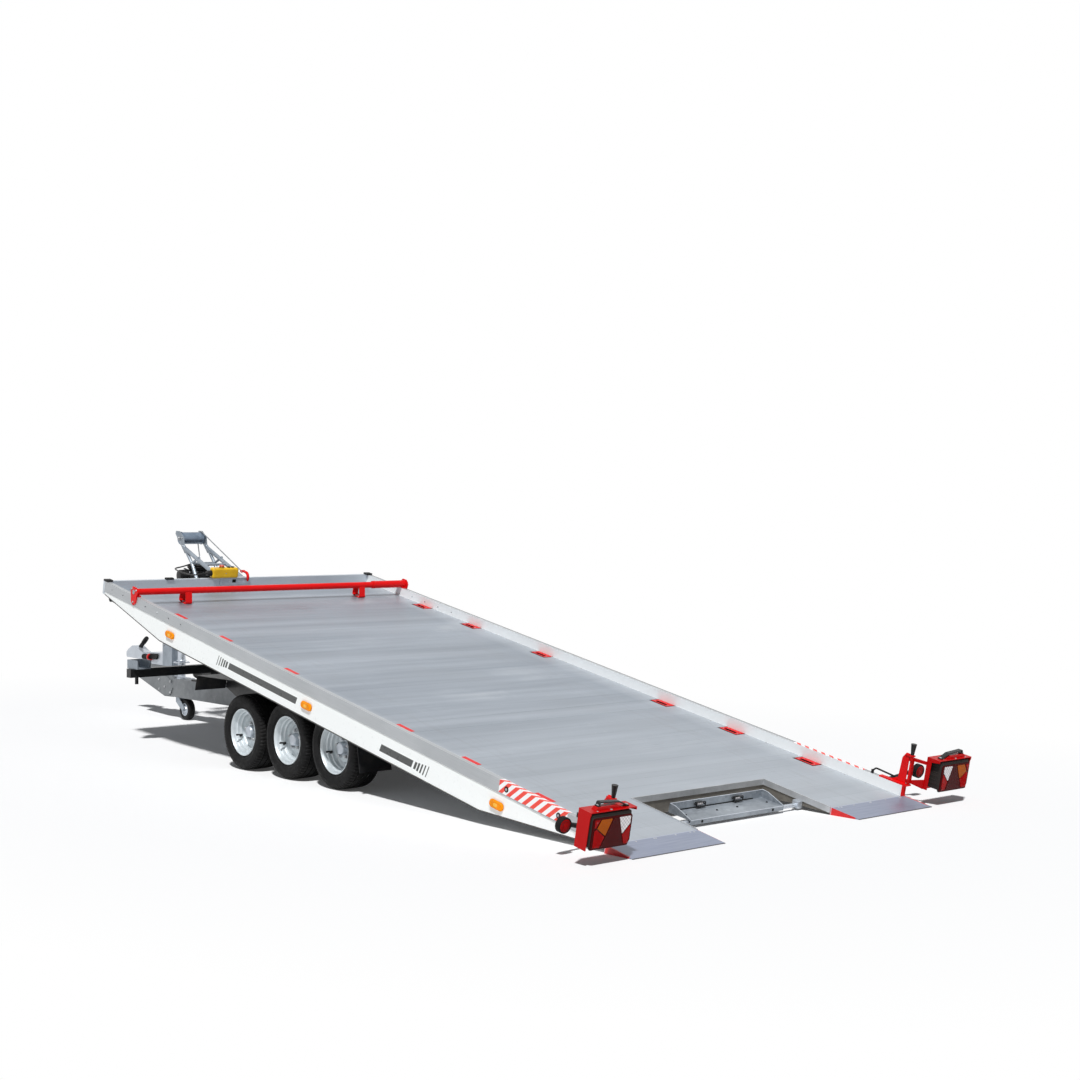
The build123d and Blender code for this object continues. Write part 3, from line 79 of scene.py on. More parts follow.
def rgb(r, g, b):
    """Linear colour of an 8-bit display colour."""
    return tuple(
        (c / 255 / 12.92 if c <= 10 else ((c / 255 + 0.055) / 1.055) ** 2.4) for c in (r, g, b)
    ) + (1.0,)


def rectangle(middle, half):
    """Four corners about a middle point, from half the width and half the height."""
    (a, b), (u, v) = middle, half
    return [(a - u, b - v), (a + u, b - v), (a + u, b + v), (a - u, b + v)]


def added(name, data):
    """A new object, put in the scene."""
    made = bpy.data.objects.new(name, data)
    bpy.context.scene.collection.objects.link(made)
    return made


# ------------------------------------------------------------------ camera and sun
camera_data = bpy.data.cameras.new("camera")
camera_data.lens = 57.606
camera_data.sensor_width = 36
camera_data.clip_end = 200
camera = added("camera", camera_data)
camera.location = (-9.211268, 6.472, 1.559)
camera.rotation_euler = (radians(90 - 0.788), 0, radians(-40.211 - 90))
bpy.context.scene.camera = camera

sun_data = bpy.data.lights.new("sun", "SUN")
sun_data.energy = SUN_ENERGY
sun_data.angle = radians(3.5)
sun = added("sun", sun_data)
sun.rotation_euler = Vector((-0.42, 0.4, 0.8)).to_track_quat("Z", "Y").to_euler()


# ------------------------------------------------------------------ node helpers and kinds of material
class Graph:
    """Short calls for a node tree."""

    def __init__(self, tree):
        self.tree = tree

    def new(self, kind, **settings):
        node = self.tree.nodes.new("ShaderNode" + kind)
        for key, value in settings.items():
            setattr(node, key, value)
        return node

    def put(self, socket, value):
        if hasattr(value, "is_output"):
            self.tree.links.new(value, socket)
        else:
            socket.default_value = value

    def math(self, operation, a, b=0.0):
        node = self.new("Math", operation=operation)
        self.put(node.inputs[0], a)
        self.put(node.inputs[1], b)
        return node.outputs[0]

    def times(self, a, b):
        return self.math("MULTIPLY", a, b)

    def plus(self, a, b):
        return self.math("ADD", a, b)

    def minus(self, a, b):
        return self.math("SUBTRACT", a, b)

    def size(self, value):
        return self.math("ABSOLUTE", value)

    def larger(self, a, b):
        return self.math("MAXIMUM", a, b)

    def vector(self, *parts):
        node = self.new("CombineXYZ")
        for socket, value in zip(node.inputs, parts):
            self.put(socket, value)
        return node.outputs[0]

    def dot(self, vector, direction):
        node = self.new("VectorMath", operation="DOT_PRODUCT")
        self.put(node.inputs[0], vector)
        self.put(node.inputs[1], direction)
        return node.outputs["Value"]

    def scaled(self, vector, scale):
        node = self.new("VectorMath", operation="MULTIPLY")
        self.put(node.inputs[0], vector)
        self.put(node.inputs[1], scale)
        return node.outputs[0]

    def mix(self, share, a, b):
        node = self.new("Mix", data_type="RGBA")
        self.put(node.inputs[0], share)
        self.put(node.inputs[6], a)
        self.put(node.inputs[7], b)
        return node.outputs[2]

    def noise(self, vector, scale, detail=3.0, rough=0.5, distortion=0.0):
        node = self.new("TexNoise")
        self.put(node.inputs["Vector"], vector)
        node.inputs["Scale"].default_value = scale
        node.inputs["Detail"].default_value = detail
        node.inputs["Roughness"].default_value = rough
        node.inputs["Distortion"].default_value = distortion
        return node.outputs[0]

    def cells(self, vector, scale):
        node = self.new("TexVoronoi")
        self.put(node.inputs["Vector"], vector)
        node.inputs["Scale"].default_value = scale
        return node.outputs

    def span(self, value, low, high, to_low=0.0, to_high=1.0):
        node = self.new("MapRange")
        for socket, item in zip(node.inputs, (value, low, high, to_low, to_high)):
            self.put(socket, item)
        return node.outputs[0]

    def between(self, value, low, high, soft=0.0006):
        """1 where value lies between low and high."""
        first = self.span(value, low - soft, low + soft)
        second = self.span(value, high + soft, high - soft)
        return self.times(first, second)

    def both(self, *masks):
        return reduce(self.times, masks)

    def either(self, *masks):
        return reduce(self.larger, masks)

    def off(self, mask):
        return self.minus(1.0, mask)


class Finish(Graph):
    """A material with one Principled shader, its object coordinates and its deck coordinates."""

    def __init__(self, name, **sockets):
        self.material = bpy.data.materials.new(name)
        self.material.use_nodes = True
        super().__init__(self.material.node_tree)
        self.shader = next(n for n in self.tree.nodes if n.type == "BSDF_PRINCIPLED")
        for key, value in sockets.items():
            self.set(key.replace("_", " "), value)
        self.place = self.new("TexCoord").outputs["Object"]

    def set(self, name, value):
        names = {"Base": "Base Color", "Coat": "Coat Weight", "Coat rough": "Coat Roughness"}
        names["Glow"] = "Emission Color"
        self.put(self.shader.inputs[names.get(name, name)], value)

    def deck(self):
        """Length along the deck, side and height above it, in metres."""
        reach = TIP_REACH - MIDDLE
        s = self.plus(self.dot(self.place, (cos(TILT), 0, sin(TILT))), reach * cos(TILT))
        w = self.minus(self.dot(self.place, (-sin(TILT), 0, cos(TILT))), reach * sin(TILT))
        return s, self.dot(self.place, LEFT), w

    def patches(self, *settings):
        """Noise in the object's own coordinates."""
        return self.noise(self.place, *settings)

    def roughen(self, low, high, *settings):
        """Roughness from low to high, in patches."""
        self.set("Roughness", self.span(self.patches(*settings), 0.3, 0.7, low, high))

    def bump(self, height, depth):
        node = self.new("Bump")
        node.inputs["Strength"].default_value = 1.0
        node.inputs["Distance"].default_value = depth
        self.put(node.inputs["Height"], height)
        self.set("Normal", node.outputs[0])


def painted(name, colour, rough, dust, decals=None, fade=0.9, coat=0.1, shine=0.3):
    """Sprayed paint with faint orange peel, dust in patches and a slightly worn tone."""
    f = Finish(name, Coat=coat, Coat_rough=0.12, Specular_IOR_Level=shine)
    broad = f.patches(2.3, 4, 0.6)
    fine = f.patches(46, 5, 0.65)
    tone = f.mix(f.span(broad, 0.3, 0.7), colour, tuple(c * fade for c in colour[:3]) + (1.0,))
    grime = f.times(f.span(f.patches(7, 6, 0.7), 0.5, 0.8), dust)
    tone = f.mix(grime, tone, rgb(120, 112, 104))
    if decals:
        tone = decals(f, tone)
    f.set("Base", tone)
    f.set("Roughness", f.span(fine, 0.3, 0.7, rough * 0.82, rough * 1.25))
    f.bump(f.patches(420, 2), 0.00012)
    return f.material


def zinced(name, light, dark, scale, rough, metallic):
    """Hot-dip galvanised steel: spangle cells, cloudy tone and runs."""
    f = Finish(name, Metallic=metallic)
    warp = f.patches(9, 3)
    cells = f.cells(f.place, scale)
    cloud = f.patches(3.1, 6, 0.68)
    crystal = f.dot(cells["Color"], (0.4, 0.3, 0.3))
    share = f.plus(f.times(crystal, 0.22), f.times(cloud, 0.92))
    tone = f.mix(f.span(share, 0.32, 0.86), rgb(*dark), rgb(*light))
    white = f.both(f.span(f.patches(14, 7, 0.75), 0.56, 0.74), f.span(warp, 0.4, 0.7))
    f.set("Base", f.mix(f.times(white, 0.25), tone, rgb(216, 218, 216)))
    f.set("Roughness", f.span(crystal, 0.2, 0.8, rough * 0.9, rough * 1.12))
    f.bump(f.plus(crystal, f.times(f.patches(60, 4), 0.8)), 0.00008)
    return f.material


def cast(name, colour, rough, metallic, grain):
    """Coarse cast or blasted metal."""
    f = Finish(name, Metallic=metallic)
    cloud = f.patches(6, 6, 0.7)
    f.set("Base", f.mix(f.span(cloud, 0.3, 0.75), rgb(*[c * 0.8 for c in colour]), rgb(*colour)))
    f.roughen(rough * 0.85, rough * 1.15, 30, 4)
    f.bump(f.patches(grain, 5, 0.7), 0.0004)
    return f.material


def rubbery(name, colour, rough, grain, dust):
    """Black rubber or soft plastic, greyed by dust where it is open."""
    f = Finish(name, Specular_IOR_Level=0.16)
    cloud = f.patches(8, 6, 0.65)
    dusty = f.times(f.span(cloud, 0.45, 0.8), dust)
    f.set("Base", f.mix(dusty, rgb(*colour), rgb(74, 72, 69)))
    f.roughen(rough * 0.85, rough * 1.15, 40, 4)
    f.bump(f.patches(grain, 4, 0.6), 0.0003)
    return f.material


def moulded(name, colour, rough, coat=0.2):
    """Injection-moulded plastic with a fine texture and a little dirt."""
    f = Finish(name, Coat=coat * 0.5, Coat_rough=0.2, Specular_IOR_Level=0.3)
    cloud = f.patches(20, 6, 0.7)
    darker = rgb(*[c * 0.82 for c in colour])
    f.set("Base", f.mix(f.span(cloud, 0.4, 0.75), rgb(*colour), darker))
    f.roughen(rough * 0.8, rough * 1.25, 90, 4)
    f.bump(f.patches(900, 3), 0.00008)
    return f.material


def lens(name, colour, pitch, direction=LEFT, cross=None, glow=0.0):
    """Coloured lens with moulded flutes, or with the small cubes of a reflector."""
    f = Finish(name, Roughness=0.24, Coat=0.02, Coat_rough=0.05, Specular_IOR_Level=0.05)
    along = f.math("SINE", f.times(f.dot(f.place, direction), 2 * pi / pitch))
    if cross:
        other = f.math("SINE", f.times(f.dot(f.place, cross), 2 * pi / pitch))
        along = f.times(along, other)
    depth = f.patches(30, 3)
    share = f.plus(f.times(f.span(along, -1, 1), 0.6), f.times(depth, 0.5))
    low = rgb(*[c * 0.6 for c in colour])
    tone = f.mix(share, low, rgb(*colour))
    f.set("Base", tone)
    if glow:
        f.set("Glow", tone)
        f.shader.inputs["Emission Strength"].default_value = glow
    f.bump(along, 0.0004)
    return f.material


# ------------------------------------------------------------------ materials of single surfaces
RED = rgb(228, 20, 22)
WHITE = rgb(247, 250, 249)


def deck_planks():
    """Mill-finish planks: lateral extrusion lines, plank tones, smudges, scuffs and wheel tracks."""
    f = Finish("deck_planks", Metallic=0.55)
    s, y, w = f.deck()
    along = f.vector(s, y, w)
    lateral = f.scaled(along, (1.0, 0.05, 1.0))
    bands = f.noise(lateral, 5.5, 4, 0.6)
    lines = f.noise(lateral, 90, 4, 0.7)
    hair = f.noise(f.scaled(along, (1.0, 0.012, 1.0)), 420, 2)
    smudge = f.noise(f.scaled(along, (1.0, 0.55, 1.0)), 2.2, 7, 0.66, 0.6)
    scuff = f.noise(f.scaled(along, (0.12, 1.0, 1.0)), 24, 6, 0.7)
    share = f.times(f.span(bands, 0.34, 0.66), 0.5)
    share = f.plus(share, f.times(f.span(lines, 0.3, 0.7), 0.18))
    share = f.plus(share, f.times(f.span(smudge, 0.3, 0.75), 0.32))
    tone = f.mix(share, rgb(122, 131, 142), rgb(172, 180, 190))
    pale = f.both(f.span(smudge, 0.56, 0.72), f.span(bands, 0.4, 0.6))
    tone = f.mix(f.times(pale, 0.35), tone, rgb(196, 199, 201))
    rear = f.span(s, 2.4, 0.5, 0.0, 0.55)
    tone = f.mix(rear, tone, rgb(186, 192, 198))
    foot = f.times(f.span(f.size(y), 0.9, 1.07), 0.6)
    tone = f.mix(foot, tone, rgb(206, 210, 214))
    worn = f.both(
        f.span(f.noise(f.scaled(along, (1.0, 0.7, 1.0)), 13, 9, 0.8, 1.5), 0.6, 0.72),
        f.span(f.noise(along, 1.7, 3), 0.5, 0.6),
    )
    tone = f.mix(f.times(worn, 0.5), tone, rgb(206, 208, 206))
    tracks = f.both(f.span(f.size(f.minus(f.size(y), 0.74)), 0.2, 0.06), f.span(scuff, 0.5, 0.7))
    tone = f.mix(f.times(tracks, 0.3), tone, rgb(136, 138, 141))
    grooves = f.between(f.math("FRACT", f.math("DIVIDE", s, JOINT_PITCH)), 0.0, 0.014, 0.004)
    tone = f.mix(f.times(grooves, 0.28), tone, rgb(104, 108, 114))
    f.set("Base", tone)
    rough = f.span(smudge, 0.25, 0.75, 0.3, 0.5)
    f.set("Roughness", f.plus(rough, f.times(f.span(lines, 0.3, 0.7), 0.08)))
    height = f.plus(f.times(lines, 0.5), f.times(hair, 0.35))
    height = f.minus(height, f.times(grooves, 1.6))
    f.bump(height, 0.0005)
    return f.material


def rail_metal(name="rail_metal", tone_low=(158, 162, 165), tone_high=(188, 191, 194), tape=True):
    """Anodised extrusion drawn lengthwise, with near-white, non-metallic inner faces as painted light; red
    and white hazard tape near the rails' ends.
    """
    f = Finish(name, Metallic=0.45)
    s, y, w = f.deck()
    lines = f.noise(f.vector(f.times(s, 0.03), y, w), 160, 4, 0.7)
    cloud = f.patches(3.0, 5, 0.6)
    share = f.plus(f.times(f.span(lines, 0.3, 0.7), 0.4), f.times(cloud, 0.7))
    tone = f.mix(share, rgb(*tone_low), rgb(*tone_high))
    rough = f.span(lines, 0.3, 0.7, 0.34, 0.48)
    if tape:
        side = f.size(y)
        # inner faces of the rails: near white and not metallic, painted light for the brighter light these
        # faces catch
        inner = f.span(side, 1.0712, 1.0708)
        tone = f.mix(f.times(inner, 0.95), tone, rgb(240, 242, 242))
        brink = f.both(f.span(w, 0.057, 0.0578), f.span(y, -1.09, -1.094))
        tone = f.mix(brink, tone, rgb(112, 114, 116))
        spread = f.plus(s, f.minus(f.times(w, 1.05), f.times(side, 1.05)))
        stripe = f.between(f.math("FRACT", f.math("DIVIDE", spread, TAPE_PITCH)), 0.0, 0.5, 0.012)
        there = f.both(f.between(s, 0.482, 1.004), f.off(inner), f.span(w, -0.004, -0.0035))
        tone = f.mix(there, tone, f.mix(stripe, rgb(244, 244, 246), rgb(238, 66, 50)))
        f.set("Metallic", f.times(f.off(f.either(there, inner)), 0.45))
    f.set("Base", tone)
    f.set("Roughness", rough)
    f.bump(lines, 0.0003)
    return f.material


def beam_decals(f, tone):
    """Dark bands with bars at their outer ends."""
    s, y, w = f.deck()
    dark = rgb(74, 76, 76)
    slant = f.plus(s, f.times(w, 0.35))
    found = f.both(f.between(slant, 2.87, 3.655), f.between(w, -0.099, -0.057))
    found = f.either(found, f.both(f.between(slant, 1.7, 2.00), f.between(w, -0.113, -0.071)))
    for start, way, middle in ((3.672, 1, -0.078), (1.683, -1, -0.092)):
        for bar in range(5):
            low = start + way * (bar * 0.0285)
            wide = 0.02 - bar * 0.0032
            ends = sorted((low, low + way * wide))
            reach = 0.021 + bar * 0.0028
            found = f.either(
                found, f.both(f.between(slant, *ends), f.between(w, middle - reach, middle + reach)),
            )
    return f.mix(found, tone, dark)


def wedge_paint():
    """Ramp tips: bare top in a dark bluish tone that is painted shade and painted sky reflection, red
    painted sides with a bare corner, dark ground edge.
    """
    f = Finish("wedge_paint", Metallic=0.35)
    s, y, w = f.deck()
    lines = f.noise(f.vector(s, f.times(y, 0.06), w), 70, 5, 0.7)
    smudge = f.patches(4.2, 6, 0.7, 0.5)
    share = f.plus(f.times(f.span(lines, 0.3, 0.7), 0.35), f.times(smudge, 0.7))
    # dark bluish tone of the bare aluminium top: painted shade and painted sky reflection
    tone = f.mix(share, rgb(112, 121, 143), rgb(158, 165, 183))
    side = f.size(y)
    wall = f.either(f.span(side, 1.0905, 1.0915), f.span(side, 0.4965, 0.4958))
    paint = f.both(wall, f.span(s, 0.036, 0.04))
    tone = f.mix(paint, tone, f.mix(f.span(smudge, 0.4, 0.7), rgb(222, 30, 32), rgb(196, 24, 28)))
    edge = f.both(f.span(s, 0.0175, 0.0165), f.off(paint))
    tone = f.mix(edge, tone, rgb(70, 70, 76))
    seam = f.between(s, 0.199, 0.204, 0.001)
    tone = f.mix(f.times(seam, 0.6), tone, rgb(206, 212, 224))
    f.set("Base", tone)
    f.set("Metallic", f.times(f.off(paint), 0.35))
    f.set("Roughness", f.span(smudge, 0.3, 0.7, 0.34, 0.55))
    f.bump(lines, 0.0003)
    return f.material


def rope_wire():
    """Laid steel wire rope."""
    f = Finish("steel_rope", Metallic=0.8)
    lay = f.plus(f.dot(f.place, (760, 0, 420)), f.dot(f.place, (0, 900, 0)))
    twist = f.span(f.math("SINE", lay), -1, 1)
    f.set("Base", f.mix(twist, rgb(84, 86, 88), rgb(186, 190, 193)))
    f.roughen(0.3, 0.5, 200, 3)
    f.bump(twist, 0.0009)
    return f.material


def pendant_shell():
    """Yellow box of the hand control with its black cable gland."""
    f = Finish("pendant_shell", Coat=0.12, Coat_rough=0.2, Specular_IOR_Level=0.3)
    cloud = f.patches(20, 6, 0.7)
    tone = f.mix(f.span(cloud, 0.4, 0.75), rgb(238, 190, 30), rgb(206, 158, 24))
    gland = f.span(f.dot(f.place, LEFT), 0.2812, 0.2816)
    f.set("Base", f.mix(gland, tone, rgb(20, 20, 21)))
    f.roughen(0.3, 0.46, 90, 4)
    f.bump(f.patches(900, 3), 0.00008)
    return f.material


MATERIALS = {
    "deck": deck_planks(),
    "rail": rail_metal(),
    "bulkhead": rail_metal("bulkhead_metal", (176, 184, 192), (212, 219, 225), tape=False),
    "trim": cast("trim_metal", (206, 209, 212), 0.36, 0.5, 500),
    "white": painted("white_paint", WHITE, 0.3, 0.015, beam_decals, 0.985),
    "red": painted("red_paint", RED, 0.36, 0.03, coat=0.03, shine=0.12),
    # darker copy of the red paint for the lamp holders: painted shade for their shaded sides
    "hood_red": painted("hood_red", rgb(188, 8, 10), 0.36, 0.02, coat=0.03, shine=0.1),
    "black": painted("black_paint", rgb(27, 28, 30), 0.4, 0.18),
    "wedge": wedge_paint(),
    "zinc": zinced("zinc", (168, 177, 186), (114, 123, 132), 55, 0.42, 0.6),
    # darker and bluer copy of the zinc for the rope roller: the darkening is painted shade
    "roller_zinc": zinced("roller_zinc", (150, 166, 184), (98, 112, 128), 30, 0.34, 0.6),
    "zinc_dull": zinced("zinc_dull", (142, 145, 147), (98, 102, 106), 42, 0.52, 0.6),
    "zinc_dark": zinced("zinc_dark", (122, 118, 110), (74, 70, 66), 42, 0.6, 0.35),
    "zinc_bright": zinced("zinc_bright", (208, 214, 221), (168, 175, 184), 70, 0.36, 0.6),
    "tray": zinced("tray_zinc", (176, 183, 190), (104, 111, 119), 60, 0.5, 0.45),
    "bolt": cast("bolt_metal", (182, 184, 187), 0.35, 0.85, 700),
    "silver": cast("silver_paint", (222, 230, 234), 0.42, 0.3, 650),
    "tyre": rubbery("tyre_rubber", (15, 15, 16), 0.66, 260, 0.12),
    "rubber": rubbery("black_rubber", (24, 24, 25), 0.58, 300, 0.15),
    "grey_rubber": rubbery("grey_rubber", (44, 39, 37), 0.6, 300, 0.12),
    "plastic": moulded("black_plastic", (20, 20, 21), 0.45, 0.1),
    "pendant_shell": pendant_shell(),
    "button": moulded("red_button", (214, 34, 32), 0.3, 0.4),
    "cable": rubbery("cable_sheath", (24, 24, 25), 0.45, 500, 0.1),
    "rope": rope_wire(),
    "amber": lens("amber_lens", (255, 150, 10), 0.005, AHEAD, UP, 0.3),
    "red_lens": lens("red_lens", (176, 8, 10), 0.0065),
    "reflector": lens("reflector_lens", (78, 7, 9), 0.004, LEFT, UP),
    "clear_lens": lens("clear_lens", (238, 234, 236), 0.018, LEFT, UP, 0.05),
    "amber_field": lens("amber_field", (190, 92, 8), 0.0065, LEFT, UP),
    "amber_core": lens("amber_core", (255, 196, 80), 0.004, AHEAD, UP, 0.35),
    "round_lens": lens("round_lens", (196, 14, 16), 0.005),
    "cast_black": cast("cast_black", (38, 38, 40), 0.5, 0.3, 500),
    # near-black strip material for the side beams' lower edges: painted shade
    "lower_edge_shade": moulded("lower_edge_shade", (70, 68, 68), 0.4),
    "dark_screw": cast("dark_screw", (150, 30, 30), 0.4, 0.3, 600),
    # near-black for the tie-down slots: painted shade inside the slot holes
    "dark": rubbery("slot_dark", (16, 15, 15), 0.8, 200, 0.1),
    "chrome": cast("chrome_rod", (222, 224, 226), 0.16, 0.95, 900),
}

NODES_WITH = {
    "deck": "deck",
    "dark": "tie_down_slots",
    "rail": "side_rails",
    "white": "side_beams",
    "bulkhead": "bulkhead",
    "rubber": "corner_caps marker_lamps drawbar_levers jockey_wheel",
    "wedge": "ramp_wedges",
    "trim": "cutout_frame",
    "zinc_dark": "platform_frame",
    "zinc_bright": "cross_shaft overrun_device coupling_head jockey_tube jockey_leg",
    "red": "wheel_stop_bar rope_hook lamp_brackets",
    "zinc": "winch_stand holder_post front_rests jockey_fork",
    "plastic": "winch lamp_knobs plate_lamps hydraulic_pump",
    "rope": "winch_rope",
    "pendant_shell": "pendant",
    "cable": "pendant_cable pendant_coil lamp_leads",
    "tray": "number_plate_carrier",
    "roller_zinc": "rope_roller",
    "zinc_dull": "chassis_frame axles drawbar",
    "black": "mudguards front_crossbar cylinder_barrel",
    "chrome": "cylinder_rod",
}
NODE_FINISH = {name: finish for finish, names in NODES_WITH.items() for name in names.split()}
for _, side in SIDES:
    NODE_FINISH[f"lamp_holder_{side}"] = "hood_red"
    NODE_FINISH[f"lamp_handle_{side}"] = "plastic"
    NODE_FINISH[f"tail_lamp_{side}"] = "grey_rubber"
    for row, _ in AXLES:
        NODE_FINISH.update({f"rim_{row}_{side}": "silver", f"tyre_{row}_{side}": "tyre"})
for name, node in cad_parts.items():
    node.data.materials.clear()
    node.data.materials.append(MATERIALS[NODE_FINISH[name]])


# ------------------------------------------------------------------ world and floor
def pale_ray(graph):
    """1 for camera, glossy and transmission rays, which see the white background."""
    path = graph.new("LightPath")
    rays = ("Is Camera Ray", "Is Glossy Ray", "Is Transmission Ray")
    return graph.either(*(path.outputs[ray] for ray in rays))


world = bpy.data.worlds.new("world")
bpy.context.scene.world = world
world.use_nodes = True
sky = Graph(world.node_tree)
background = next(n for n in sky.tree.nodes if n.type == "BACKGROUND")
sky.put(background.inputs["Color"], sky.mix(pale_ray(sky), rgb(236, 242, 252), rgb(255, 255, 255)))
sky.put(background.inputs["Strength"], sky.span(pale_ray(sky), 0, 1, SKY_LIGHT, 1.0))

floor_mesh = bpy.data.meshes.new("floor")
corners = rectangle((0, 0), (FLOOR_HALF, FLOOR_HALF))
floor_mesh.from_pydata([(x, y, 0) for x, y in corners], [], [(0, 1, 2, 3)])
floor = added("floor", floor_mesh)
floor.location = (0, 0, -0.0006)
floor_material = bpy.data.materials.new("floor")
floor_material.use_nodes = True
ground = Graph(floor_material.node_tree)
ground.tree.nodes.clear()
matt = ground.new("BsdfDiffuse")
matt.inputs["Color"].default_value = (0.97, 0.97, 0.97, 1)
glow = ground.new("Emission")
spot = ground.new("TexCoord").outputs["Object"]
reach = ground.new("VectorMath", operation="LENGTH")
ground.put(reach.inputs[0], ground.scaled(spot, (1.0, 1.6, 1.0)))
far = ground.span(reach.outputs["Value"], 4.2, 7.0)
blend = ground.new("MixShader")
ground.put(blend.inputs[0], ground.both(pale_ray(ground), ground.larger(far, FLOOR_GLOW)))
ground.put(blend.inputs[1], matt.outputs[0])
ground.put(blend.inputs[2], glow.outputs[0])
output = ground.new("OutputMaterial")
ground.put(output.inputs["Surface"], blend.outputs[0])
floor_mesh.materials.append(floor_material)
bpy.context.scene.view_settings.view_transform = "Standard"


# ------------------------------------------------------------------ shapes
class Part:
    """Gathers closed shells in one frame, then becomes a piece that rides on a body."""

    def __init__(self, matrix=CHASSIS):
        self.matrix = matrix
        self.points, self.faces, self.tones = [], [], []
        self.tone = 0

    def add(self, points, faces):
        base = len(self.points)
        self.points += [self.matrix @ Vector(p) for p in points]
        self.faces += [[base + i for i in face] for face in faces]
        self.tones += [self.tone] * len(faces)

    def skin(self, rings, closed=False):
        """Closed shell over rings of equally many points, capped at its ends unless closed."""
        count, last = len(rings[0]), len(rings)
        faces = []
        for r in range(last if closed else last - 1):
            upper = (r + 1) % last
            for i in range(count):
                j = (i + 1) % count
                faces.append((r * count + i, r * count + j, upper * count + j, upper * count + i))
        if not closed:
            faces.append(list(range(count))[::-1])
            faces.append(list(range((last - 1) * count, last * count)))
        self.add([p for ring in rings for p in ring], faces)

    def plate(self, outline, low, high, axis=1, chamfer=0.0):
        """Outline in the other two axes, pushed along an axis, with a chamfer at its high end."""
        def ring(points, level):
            return [(*p[:axis], level, *p[axis:]) for p in points]
        rings = [ring(outline, low), ring(outline, high)]
        if chamfer:
            way = 1 if high > low else -1
            rings[1] = ring(outline, high - way * chamfer)
            rings.append(ring(inset(outline, chamfer), high))
        self.skin(rings)

    def turned(self, profile, origin, axis, sides=40, closed=False):
        """Surface of revolution; the profile gives (distance along the axis, radius) in mm."""
        axis = Vector(axis).normalized()
        first = axis.orthogonal().normalized()
        second = axis.cross(first)
        rings = []
        for along, radius in profile:
            middle = Vector(origin) + axis * (along * MM)
            turn = [2 * pi * i / sides for i in range(sides)]
            rings.append([middle + (first * cos(a) + second * sin(a)) * (radius * MM) for a in turn])
        self.skin(rings, closed)

    def tube(self, path, radius, sides=14, closed=False):
        """Round bar along points; the radius may change from point to point."""
        path = [Vector(p) for p in path]
        count = len(path)
        widths = radius if isinstance(radius, (list, tuple)) else [radius] * count
        rings, side = [], None
        for i, point in enumerate(path):
            before = path[i - 1] if closed or i else point
            after = path[(i + 1) % count] if closed or i < count - 1 else point
            way = (after - before).normalized()
            if side is None:
                side = way.orthogonal().normalized()
            side = (side - way * side.dot(way)).normalized()
            up = way.cross(side)
            turn = [2 * pi * k / sides for k in range(sides)]
            rings.append([point + (side * cos(a) + up * sin(a)) * widths[i] for a in turn])
        self.skin(rings, closed)

    def bolt(self, at, axis, size, washer=True):
        """Hexagon head on a washer; its size, half the width, is in mm."""
        if washer:
            self.turned(
                [(0, size * 1.25), (size * 0.16, size * 1.25), (size * 0.2, size * 1.15)], at, axis, 20,
            )
        head = [(0, size), (size * 0.75, size), (size * 0.9, size * 0.86)]
        self.turned(head, at, axis, 6)

    def rivet(self, at, axis, size):
        profile = [
            (0, size), (size * 0.28, size * 0.9), (size * 0.45, size * 0.55), (size * 0.5, size * 0.1),
        ]
        self.turned(profile, at, axis, 16)

    def build(self, name, body, slot, *finishes, bevel=0.0, replaces=(), angle=35):
        mesh = bpy.data.meshes.new(name)
        mesh.from_pydata([tuple(p) for p in self.points], [], self.faces)
        mesh.polygons.foreach_set("material_index", self.tones)
        for finish in finishes:
            mesh.materials.append(MATERIALS[finish])
        work = bmesh.new()
        work.from_mesh(mesh)
        bmesh.ops.recalc_face_normals(work, faces=work.faces)
        work.to_mesh(mesh)
        work.free()
        mesh.shade_smooth()
        mesh.set_sharp_from_angle(angle=radians(angle))
        piece = added(name, mesh)
        if bevel:
            edge = piece.modifiers.new("bevel", "BEVEL")
            edge.width, edge.segments, edge.limit_method = bevel, 2, "ANGLE"
            edge.angle_limit = radians(angle)
            edge.harden_normals = True
        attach(piece, body)
        if replaces:
            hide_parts(*replaces)


def inset(outline, amount):
    """The outline drawn in by an amount."""
    count = len(outline)
    area = sum(a[0] * b[1] - b[0] * a[1] for a, b in zip(outline, outline[1:] + outline[:1]))
    way = 1 if area > 0 else -1
    made = []
    for i, point in enumerate(outline):
        here = Vector(point)
        back = (here - Vector(outline[i - 1])).normalized()
        ahead = (Vector(outline[(i + 1) % count]) - here).normalized()
        side = Vector((-back.y, back.x)) * way + Vector((-ahead.y, ahead.x)) * way
        scale = amount / max(0.25, side.length_squared / 2) if side.length else 0
        made.append(tuple(here + side * scale))
    return made


def rounded(outline, radius, steps=5):
    """The outline with its corners rounded; a radius may be given for each corner."""
    count = len(outline)
    radii = radius if isinstance(radius, (list, tuple)) else [radius] * count
    made = []
    for i, point in enumerate(outline):
        here = Vector(point)
        back = (Vector(outline[i - 1]) - here).normalized()
        ahead = (Vector(outline[(i + 1) % count]) - here).normalized()
        half = back.angle(ahead) / 2
        if radii[i] <= 0 or half < 0.01:
            made.append(tuple(here))
            continue
        reach = radii[i] / tan(half)
        middle = here + (back + ahead).normalized() * (radii[i] / sin(half))
        start = (here + back * reach - middle).normalized()
        end = (here + ahead * reach - middle).normalized()
        made += [tuple(middle + start.slerp(end, k / steps) * radii[i]) for k in range(steps + 1)]
    return made


def ribs(count, first, pitch, shape, narrowing=0.0):
    """Turned profile of ribs: the points of shape again and again, each rib a pitch further on."""
    return [(first + k * pitch + a, r - k * narrowing) for k in range(count) for a, r in shape]


def circle(middle, radius, count, start=0.0):
    """Points spread evenly on a circle."""
    turn = [2 * pi * k / count + start for k in range(count)]
    return [(middle[0] + radius * cos(a), middle[1] + radius * sin(a)) for a in turn]


def oblong(middle, half, radius, steps=5):
    """Rectangle with rounded corners about a middle point."""
    return rounded(rectangle(middle, half), radius, steps)


